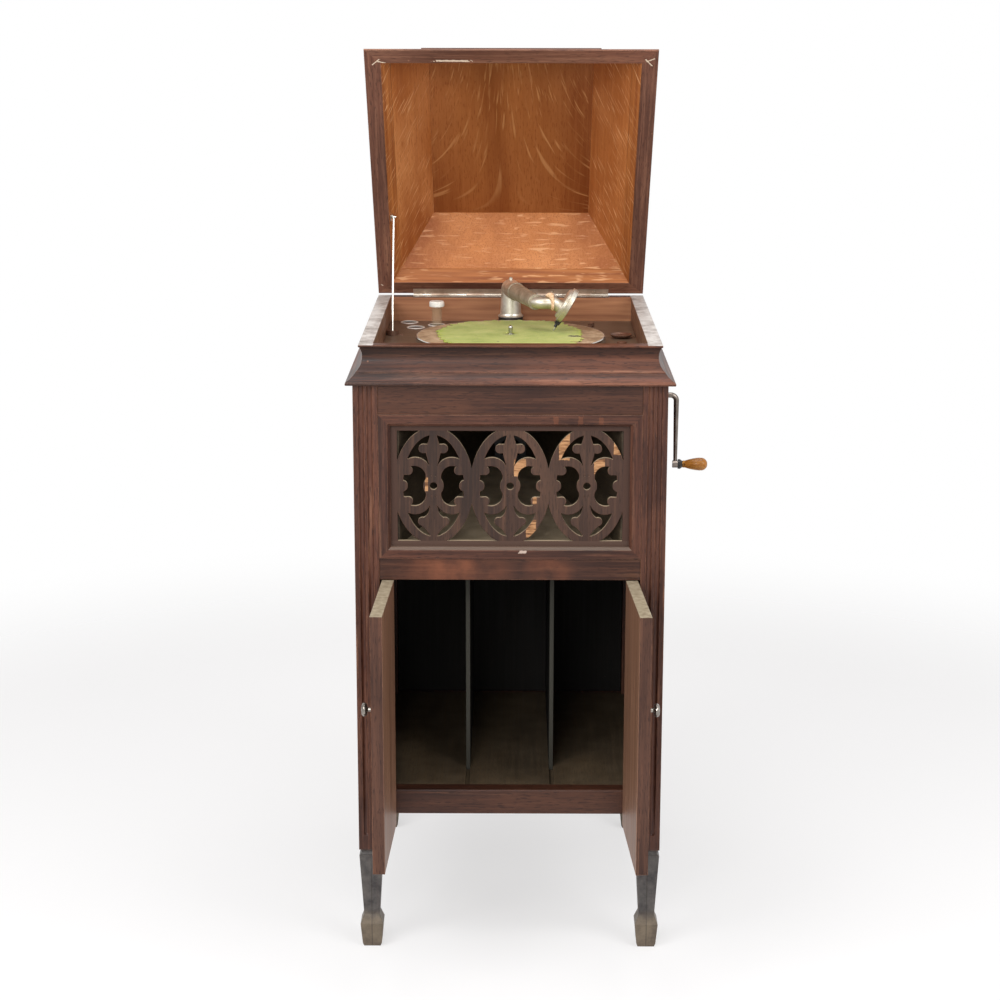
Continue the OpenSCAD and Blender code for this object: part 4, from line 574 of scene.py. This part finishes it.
def screw_head(place, axis, radius, spin):
    """Slotted countersunk head: a dome 0.12 (1 - r^2) of its radius high that dips by 0.3 of it
    along the slot, its rim a little lower; turned by spin, laid along axis and moved to place."""
    rings = np.array([0.0, 0.35, 0.7, 0.92, 1.0])
    p = disc(rings, 32) * radius
    slot = (np.abs(p[..., 1]) < 0.14 * radius) * (rings < 0.95)
    p[..., 2] = 0.12 * radius * (1 - rings ** 2) - 0.3 * radius * slot
    p[:, -1, 2] = -0.05 * radius
    upright = Vector((0, 0, 1)).rotation_difference(Vector(axis)).to_matrix()
    return p @ np.array(upright @ Matrix.Rotation(spin, 3, "Z")).T + np.asarray(place)


def wavering(rng, angles, rough, terms, fall=0.8):
    """A sum of cosines with falling weight, for a torn or worn outline."""
    k = np.arange(1, terms + 1)
    weight, phase = rng.normal(size=terms) / k ** fall, rng.uniform(0, 2 * np.pi, terms)
    wave = (weight[:, None] * np.cos(np.outer(k, angles) + phase[:, None])).sum(0)
    return rough * wave / np.abs(wave).max()


# ---------------------------------------------------------------- settings

class CabinetLook(bpy.types.PropertyGroup):
    stain: bpy.props.FloatVectorProperty(
        name="Outside stain", description="Middle colour of the stained oak outside",
        subtype="COLOR", size=4, min=0, max=1, default=linear("4a291d"))
    wear: bpy.props.FloatProperty(
        name="Wear", description="How far the stain is rubbed off the edges",
        default=0.6, min=0, max=1, subtype="FACTOR")


class FeltLook(bpy.types.PropertyGroup):
    radius: bpy.props.FloatProperty(
        name="Radius", description="Radius of the felt where it isn't torn",
        default=0.1415, min=0.05, max=0.15, unit="LENGTH")
    torn_to: bpy.props.FloatProperty(
        name="Torn to", description="How far the felt still reaches at the sides",
        default=0.127, min=0.05, max=0.15, unit="LENGTH")
    torn: bpy.props.FloatProperty(
        name="Torn", description="How far the torn outline wavers in wide waves",
        default=0.0026, min=0, max=0.02, unit="LENGTH")
    thickness: bpy.props.FloatProperty(
        name="Thickness", description="Thickness of the felt",
        default=0.0016, min=0.0005, max=0.004, unit="LENGTH")


class StudioLook(bpy.types.PropertyGroup):
    key: bpy.props.FloatProperty(
        name="Key light", description="Power of the large left lamp", default=60.0, min=0)
    fill: bpy.props.FloatProperty(
        name="Fill light", description="Power of the right lamp", default=44.0, min=0)
    front: bpy.props.FloatProperty(
        name="Front light", description="Power of each of the front and top lamps",
        default=32.0, min=0)
    sky: bpy.props.FloatProperty(
        name="Surround", description="Strength of the pale surround", default=0.45, min=0)


# ---------------------------------------------------------------- operators

class PHONO_OT_cabinet(bpy.types.Operator):
    """Stained oak on the posts, rails, panels, cornice and doors"""
    bl_idname = "phono.cabinet"
    bl_label = "Cabinet wood"

    def execute(self, context):
        look = context.scene.cabinet_look
        out = dict(dark="2a1610", mid=look.stain[:], light="6e4534", worn=look.wear)
        dull = dict(worn=0.2, streaks=0.1, rough=(0.6, 0.75), lines=0.3)
        # Inside the cupboard: near black, dark stain with painted shade where little light reaches
        dark = dict(dull, dark="0c0906", mid="130f0b", light="1c1611", worn_colour="4a4031")
        lo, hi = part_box("grille_frame")
        # The cornice is mitred at its two front corners only, so its line runs on far behind it
        cornice_front, cornice_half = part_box("cornice")[0][1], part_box("cornice")[1][0]
        for name, finish_of, *nodes in (
                # Oak under a red-brown stain: satin, paler where the stain is rubbed off
                ("post_stained_oak", dict(out, seed=1.0, marks=leg_marks, streaks=0.6), "corner_posts"),
                ("panel_stained_oak", dict(out, seed=2.0), "side_panel_left", "side_panel_right"),
                ("rail_stained_oak", dict(out, grain="x", seed=3.0, marks=rail_marks, mid="3b2016",
                 light="5f3b2a"), "front_rails"),
                ("side_rail_stained_oak", dict(out, grain="y", seed=3.5), "frame_rails"),
                ("grille_frame_oak", dict(out, grain="x", seed=4.0, marks=grille_marks,
                 mitre=(hi[0], lo[2], hi[2], "z")), "grille_frame"),
                ("fretwork_oak", dict(seed=5.0, dark="281a14", mid="402a21", light="5d4233", worn=0.3,
                 streaks=0.15, rough=(0.5, 0.65), marks=fret_marks), "fretwork_grille"),
                ("cornice_oak", dict(out, grain="x", seed=6.0, marks=cornice_marks, mid="52321f",
                 light="784a36", streaks=0.5, mitre=(cornice_half, cornice_front, 3.0, "y")), "cornice"),
                # Oak hardly stained: greyer, duller, dust where it lies flat, painted light on the horn
                ("board_oak", dict(grain="x", seed=7.0, dark="3a251b", mid="5c4233", light="806250",
                 worn=0.3, dust=0.3), "motor_board"),
                # Near black: dark stain with painted shade
                ("inside_oak", dict(dark, marks=back_marks), "back_panel"),
                ("divider_oak", dict(dark, marks=divider_marks), "record_dividers"),
                ("floor_oak", dict(dull, dark="2a2014", mid="3f3220", light="57462f", grain="y",
                 worn_colour="6a5b46", dust=0.2), "record_floor"),
                # Horn: its high dust paints light from above on its floor, on top of dust
                ("horn_oak", dict(dull, dark="30261c", mid="4c4133", light="6a5d49", grain="y",
                 worn_colour="8a7c64", dust=1.7), "horn_shelf", "horn")):
            paint(sawn_oak(name, **finish_of), *nodes)
        for side, turn in DOOR_OPEN.items():
            name, place = "door_" + side, JOINTS[side + "_door_hinge"]["pos_m"]
            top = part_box(name)[1][2] - place[2] - 0.4 * MM
            paint(sawn_oak(name + "_oak", seed=8.0 + turn, turned=(place, (0, 0, math.radians(turn))),
                  marks=door_marks(top), **dict(out, lines=0.2, mid="56382b", light="80553f")), name)
        return {"FINISHED"}


class PHONO_OT_lid(bpy.types.Operator):
    """Stained oak on the lid's rim and golden oak inside it"""
    bl_idname = "phono.lid"
    bl_label = "Lid wood"

    def execute(self, context):
        shut = (LID, (-LID_OPEN, 0, 0))
        paint(sawn_oak("lid_rim_oak", "4a2c22", "784b39", "9c6c54", grain="x", turned=shut, seed=9.0,
              mitre=LID_FRAME, streaks=0.5, worn=context.scene.cabinet_look.wear,
              marks=rim_marks), "lid_rim")
        golden = dict(turned=shut, streaks=0.1, worn_colour="c98a52", rough=(0.32, 0.48), worn=0.2,
                      lines=0.22, grain="y", rays=0.6)
        paint(sawn_oak("lid_lining_oak", "a05a2b", "c87f46", "d8935c", seed=10.0, mitre=LID_FRAME,
              ray_colour="eab482", flow=wall_flow, marks=lid_outside(LID_FRAME), **golden), "lid_walls")
        paint(sawn_oak("lid_top_oak", "84441e", "a36032", "b3703f", seed=11.0, ray_colour="cf945f",
              ray_scale=(34, 950, 0), flow=panel_flow, marks=lid_outside(), **golden), "lid_top_panel")
        return {"FINISHED"}


class PHONO_OT_metalwork(bpy.types.Operator):
    """Nickel, steel, iron and brass on the fittings"""
    bl_idname = "phono.metalwork"
    bl_label = "Metalwork"

    def execute(self, context):
        for name, clean, dull, rough, extra, *nodes in (
                # Nickel plate: warm mirror where it is whole, milky and half dull where it is worn
                ("tonearm_worn_nickel", "e6e0d3", "aca18b", (0.34, 0.5), dict(metallic=0.74, spot=45.0),
                 "tonearm_bracket", "gooseneck", "sound_box"),
                ("tonearm_dull_nickel", "b9af9b", "887d69", (0.42, 0.58), dict(metallic=0.5, spot=60.0),
                 "tonearm_tube"),
                ("bright_nickel", "e6e3dc", "bcb6ab", (0.14, 0.3), {}, "stay_rod", "stay_bracket"),
                ("dark_nickel", "a39d95", "57514b", (0.1, 0.28), {},
                 "door_knob_left", "door_knob_right"),
                # Steel: rolled, turned or blued, grey with a soft streak, brown where it has rusted
                ("hinge_browned_steel", "c9b6a5", "a08775", (0.3, 0.5), dict(metallic=0.6, stain=0.6),
                 "lid_hinge_leaf"),
                ("hinge_nickelled_steel", "dcd5ca", "aa9d8e", (0.22, 0.4), dict(stain=0.7),
                 "fixed_hinge_leaves", "hinge_pins"),
                ("turned_steel", "bcbab4", "8b8880", (0.25, 0.45), {},
                 "turntable_spindle", "spring_arbor", "governor_shaft", "needle"),
                ("blued_spring_steel", "59636e", "3a4048", (0.3, 0.5), {}, "mainspring"),
                ("darkened_steel", "8a8078", "4c433d", (0.2, 0.4), dict(metallic=0.95),
                 "crank_arm", "winding_shaft"),
                # Brass: yellow and soft where it is kept, brown and dull on the hinges
                ("tarnished_brass", "a58a52", "6d5a38", (0.3, 0.6), {},
                 "door_hinge_leaves_left", "door_hinge_leaves_right", "crank_escutcheon"),
                ("clock_brass", "c2a35c", "94783e", (0.25, 0.5), {},
                 "spring_barrel", "intermediate_shaft", "governor_weights"),
                # Black japan on iron: not a metal to the eye, a hard gloss with duller patches
                ("black_japanned_iron", "17171a", "25221f", (0.25, 0.5), dict(metallic=0.0),
                 "tonearm_collar", "motor_frame", "horn_neck", "needle_bar"),
                # Browned bronze: dark and warm, shining only on its edges
                ("brown_bronze", "8a6857", "5b4335", (0.3, 0.5), dict(metallic=0.7),
                 "used_needle_dish", "stay_guide", "speed_regulator", "brake_lever")):
            paint(worked_metal(name, clean, dull, rough, **extra), *nodes)
        lo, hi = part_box("needle_cups")
        # Each cup is painted dark brown below its nickel rim, as the shade inside the hollow cup
        paint(two_tone("cup_painted_shade_and_nickel", ("4a3a30", 0.2, 0.5), ("f8f5ee", 0.45, 0.3), 2,
              float(hi[2]) - CUP_RIM), "needle_cups")
        lo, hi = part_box("crank_ferrule")
        paint(two_tone("ferrule_black_and_brass", ("1b1a19", 0.0, 0.35), ("b07d41", 1.0, 0.3), 0,
              float(lo[0]) + FERRULE_BLACK), "crank_ferrule")
        paint(platter_finish(), "turntable_platter")
        return {"FINISHED"}


class PHONO_OT_small_parts(bpy.types.Operator):
    """Wooden grip, bottle, cap and diaphragm"""
    bl_idname = "phono.small_parts"
    bl_label = "Grip, bottle and diaphragm"

    def execute(self, context):
        # Turned beech under clear varnish: golden and glossy, grain along it
        paint(sawn_oak("grip_varnished_beech", "8a5220", "b9792f", "d39a4c", grain="x", worn=0.5,
              worn_colour="dcb070", rough=(0.18, 0.3)), "crank_grip")
        # Mica is amber with a soft gloss, porcelain white and smooth
        paint(plain("mica_sheet", "cfc9b4", "a8a18a", 0.25, 90.0, 0.05), "diaphragm")
        paint(plain("white_porcelain_cap", "f7f4ec", "e6e1d6", 0.3, 60.0, 0.05), "bottle_cap")
        m, t, v = finish("needle_bottle_glass")  # thin clear glass: mostly see-through, with its shine
        shaded(t, Base_Color="bfa98a", Roughness=0.05, Alpha=0.14)
        paint(m, "needle_bottle")
        return {"FINISHED"}


class PHONO_OT_rubber(bpy.types.Operator):
    """Crumbling rubber ring between the gooseneck and the sound box"""
    bl_idname = "phono.rubber"
    bl_label = "Rubber ring"

    def execute(self, context):
        lo, hi = (np.array(v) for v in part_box("rubber_ring"))
        centre, outer = (lo + hi) / 2, (hi[1] - lo[1]) / 2
        wall, lump_left, lump_up = 2.5 * MM, 8.5 * MM, 5.6 * MM
        inner = outer - wall
        rng = np.random.default_rng(5)
        a = np.linspace(0, 2 * np.pi, 160, endpoint=False)
        u = np.linspace(0, 1, 13)
        # Skin: radius = a rounded wall with crumbled waves; at the top a lump stands up and out
        # to the left, and the bore gives way under it
        lump = np.exp(-((a - 1.75) / 0.42) ** 2)
        waves = np.stack([wavering(rng, a, 0.7 * MM, 34, 0.4) for _ in u], 1)
        left = lo[0] - 0.9 * MM * (1 + wavering(rng, a, 0.8, 24, 0.5)) - lump_left * lump
        right = hi[0] - 0.15 * MM + wavering(rng, a, 0.1 * MM, 24)
        x = left[:, None] + (right - left)[:, None] * u[None, :]
        crown = np.sin(np.pi * u)[None, :] ** 0.4
        r = inner + wall * (0.25 + 0.75 * crown) + (waves + lump_up * lump[:, None]) * crown
        skin = np.stack([x, centre[1] + r * np.cos(a)[:, None], centre[2] + r * np.sin(a)[:, None]], -1)
        bore = skin[:, ::-1].copy()
        clear = inner + 2.4 * MM * lump[:, None]
        bore[..., 1] = centre[1] + clear * np.cos(a)[:, None]
        bore[..., 2] = centre[2] + clear * np.sin(a)[:, None]
        ring = surface("perished_rubber_ring", np.concatenate([skin, bore[:, 1:-1]], 1),
                       plain("perished_rubber", "f0cfab", "c4966c", 0.85, 420.0, 0.8), tube=True)
        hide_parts("rubber_ring")
        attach(ring, "tonearm")
        return {"FINISHED"}


class PHONO_OT_felt(bpy.types.Operator):
    """Torn felt on the turntable, with frayed fibres round it"""
    bl_idname = "phono.felt"
    bl_label = "Turntable felt"

    def execute(self, context):
        look = context.scene.felt_look
        rng = np.random.default_rng(11)
        lo, hi = (np.array(v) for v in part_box("turntable_felt"))
        centre, floor = (lo + hi) / 2, lo[2] + 0.1 * MM
        steps, rings = 960, 36
        rags, fine_rags, ripples, thick_wave = 8 * MM, 5.5 * MM, 2.6 * MM, 0.2 * MM
        a = np.linspace(0, 2 * np.pi, steps, endpoint=False)
        # Outline = a disc with its sides torn away: the smaller of the radius and torn_to / |cos a|,
        # blended as (r^-5 + s^-5)^(-1/5), with a wobble, scallops, fine rags and three rips
        sides = look.torn_to / np.maximum(np.abs(np.cos(a)), 0.05)
        edge = (look.radius ** -5.0 + sides ** -5.0) ** (-1 / 5)
        edge += wavering(rng, a, look.torn, 9) + wavering(rng, a, rags, 60, 0.3)
        edge += wavering(rng, a, fine_rags, 240, 0.1)
        for rip, half, deep in ((-0.62, 0.05, 0.02), (2.42, 0.03, 0.007), (0.72, 0.025, 0.006)):
            off = np.abs((a - rip + np.pi) % (2 * np.pi) - np.pi) / half
            edge -= deep * np.clip(1 - off ** 1.5, 0, 1)
        edge = np.minimum(edge, FELT_WIDEST)
        s = np.linspace(0, 1, rings) ** 0.7
        r = FELT_HOLE + np.outer(edge - FELT_HOLE, s)
        # Height = thickness, thin at the very edge, with ripples that grow outwards
        ripple = wavering(rng, a, 1.0, 60, 0.3)[:, None] * (s ** 12)[None, :] * ripples
        pucker = thick_wave * np.sin(r * 420 + wavering(rng, a, 3.0, 6)[:, None])
        top = look.thickness * (1 - 0.5 * s[None, :] ** 24) + np.abs(ripple) + pucker - thick_wave
        x, y = r * np.cos(a)[:, None], r * np.sin(a)[:, None]
        upper = np.stack([x + centre[0], y + centre[1], floor + top + 0 * r], -1)
        lower = upper[:, ::-1].copy()
        lower[..., 2] = floor + np.abs(ripple)[:, ::-1] * 0.5
        felt = surface("felt", np.concatenate([upper, lower], 1), felt_finish(), tube=True)
        # Frayed fibres: short tapered strips of four points that leave the edge and curl
        count, part, root = 620, np.array([0.0, 0.4, 0.75, 1.0]), edge - 0.6 * MM
        at = rng.integers(0, steps, count)
        lean, length = rng.normal(0, 0.7, count), rng.uniform(0.8 * MM, 3.2 * MM, count)
        way = a[at, None] + lean[:, None] * (0.4 + part[None, :])
        reach = length[:, None] * part[None, :]
        x = centre[0] + root[at, None] * np.cos(a[at])[:, None] + reach * np.cos(way)
        y = centre[1] + root[at, None] * np.sin(a[at])[:, None] + reach * np.sin(way)
        z = floor + 0.5 * MM + rng.uniform(-0.1, 0.35, count)[:, None] * reach
        thin = 0.22 * MM * (1 - 0.8 * part)[None, :]
        strips = np.stack([np.stack([x - k * thin * np.sin(way), y + k * thin * np.cos(way), z], -1)
                           for k in (1, -1)], 2)
        fray = surface("felt_fray", strips, felt_finish("felt_loose_fibres"), closed=False, smooth=False)
        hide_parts("turntable_felt")
        for piece in (felt, fray):
            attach(piece, "turntable")
        return {"FINISHED"}


class PHONO_OT_screws(bpy.types.Operator):
    """Screw heads in the long hinge"""
    bl_idname = "phono.screws"
    bl_label = "Screws"

    def execute(self, context):
        steel = worked_metal("screw_steel", "d8d3c8", "9d9588", (0.2, 0.4))
        rng = np.random.default_rng(4)
        turn = np.array(Matrix.Rotation(-LID_OPEN, 3, "X"))
        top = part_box("cornice")[1][2]
        for body, move, height, up, radius in (
                ("cabinet", np.eye(3), top - LID[2], 1, 2.2 * MM),
                ("lid", turn, 0.3 * MM, -1, 2.4 * MM)):
            heads = [screw_head(move @ np.array([x, -HINGE_BACK, height]) + np.array(LID),
                     move @ np.array([0, 0, up]), radius, rng.uniform(0, 3)) for x in HINGE_SCREWS]
            screws = surface("hinge_screws_" + body, heads, steel, smooth=False)
            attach(screws, body)
        return {"FINISHED"}


class PHONO_OT_studio(bpy.types.Operator):
    """Pale floor, soft lamps and the camera"""
    bl_idname = "phono.studio"
    bl_label = "Studio"

    def execute(self, context):
        look = context.scene.studio_look
        scene = context.scene
        scene.view_settings.view_transform = "Standard"
        # Floor: a wide disc, lifted towards white for the eye, that fades into the surround
        m, t, v = finish("studio_paper")
        far = add(t, "VectorMath", {0: v}, operation="LENGTH")
        fade = add(t, "MapRange", {0: far, 1: FADE_START, 2: FADE_END}, interpolation_type="SMOOTHSTEP")
        paper = add(t, "BsdfDiffuse", {"Color": "f4f3f3"})
        white = add(t, "Emission", {"Color": "fefdfd", "Strength": 1.0})
        ray = add(t, "LightPath").outputs
        seen = add(t, "Math", {0: ray["Is Camera Ray"], 1: ray["Is Glossy Ray"]}, operation="MAXIMUM")
        seen = add(t, "Math", {0: seen, 1: FLOOR_LIFT}, operation="MULTIPLY")
        paper = add(t, "MixShader", {0: seen, 1: paper, 2: white})
        clear = add(t, "BsdfTransparent")
        paper = add(t, "MixShader", {0: fade, 1: paper, 2: clear})
        add(t, "OutputMaterial", {"Surface": paper})
        floor = surface("studio_floor", disc(np.array([0.0, 0.6, 1.2, 2.4]), 64) - (0, 0, 0.4 * MM), m)
        world = bpy.data.worlds.new("studio_surround")
        scene.world = world
        world.use_nodes = True
        w = world.node_tree
        w.nodes.clear()
        ray = add(w, "LightPath").outputs
        seen = add(w, "Math", {0: ray["Is Camera Ray"], 1: ray["Is Transmission Ray"]},
                   operation="MAXIMUM")
        seen = add(w, "Math", {0: seen, 1: ray["Is Glossy Ray"]}, operation="MAXIMUM")
        light = add(w, "Background", {"Color": (1, 1, 1, 1), "Strength": look.sky})
        white = add(w, "Background", {"Color": (1, 1, 1, 1), "Strength": 1.0})
        mixed = add(w, "MixShader", {0: seen, 1: light, 2: white})
        add(w, "OutputWorld", {"Surface": mixed})
        for name, place, size, power in (
                ("key", (-1.9, -2.3, 2.8), 1.8, look.key),
                ("fill", (2.1, -2.1, 2.4), 1.8, look.fill),
                ("front", (-0.6, -3.4, 1.9), 1.0, look.front),
                ("top", (0.0, -0.4, 3.4), 1.6, look.front)):
            lamp = bpy.data.lights.new(name, "AREA")
            lamp.energy, lamp.size, lamp.shape = power, size, "SQUARE"
            o = bpy.data.objects.new(name, lamp)
            o.location = place
            aim = Vector((0, 0, 0.8)) - Vector(place)
            o.rotation_euler = aim.to_track_quat("-Z", "Y").to_euler()
            scene.collection.objects.link(o)
        camera = bpy.data.cameras.new("camera")
        camera.sensor_width, camera.lens = 36.0, 36.0 * CAMERA_ZOOM
        camera.clip_start, camera.clip_end = 0.05, 50
        eye = bpy.data.objects.new("camera", camera)
        eye.location = CAMERA_PLACE
        pitch, yaw, roll = (math.radians(a) for a in CAMERA_TURN)
        # Looks along +Y, tipped down by pitch, then turned by yaw about Z
        eye.rotation_euler = (Matrix.Rotation(yaw, 3, "Z") @ Matrix.Rotation(math.pi / 2 - pitch, 3, "X")
                              @ Matrix.Rotation(-roll, 3, "Z")).to_euler()
        scene.collection.objects.link(eye)
        scene.camera = eye
        return {"FINISHED"}


class PHONO_PT_panel(bpy.types.Panel):
    """Lists the steps that dress the phonograph"""
    bl_idname = "PHONO_PT_panel"
    bl_label = "Phonograph"
    bl_space_type = "VIEW_3D"
    bl_region_type = "UI"
    bl_category = "Phonograph"

    def draw(self, context):
        for group in GROUPS:
            settings = getattr(context.scene, group)
            for key in settings.__annotations__:
                self.layout.prop(settings, key)
        for step in STEPS:
            self.layout.operator(step.bl_idname)


STEPS = (PHONO_OT_studio, PHONO_OT_cabinet, PHONO_OT_lid, PHONO_OT_metalwork, PHONO_OT_small_parts,
         PHONO_OT_rubber, PHONO_OT_felt, PHONO_OT_screws)
GROUPS = {"cabinet_look": CabinetLook, "felt_look": FeltLook, "studio_look": StudioLook}


def register():
    for c in (*GROUPS.values(), *STEPS, PHONO_PT_panel):
        bpy.utils.register_class(c)
    for name, group in GROUPS.items():
        setattr(bpy.types.Scene, name, bpy.props.PointerProperty(type=group))


def unregister():
    for name in GROUPS:
        delattr(bpy.types.Scene, name)
    for c in (PHONO_PT_panel, *reversed(STEPS), *GROUPS.values()):
        bpy.utils.unregister_class(c)


def main():
    register()
    for step in STEPS:
        group, name = step.bl_idname.split(".")
        getattr(getattr(bpy.ops, group), name)()


if __name__ == "__main__":
    main()
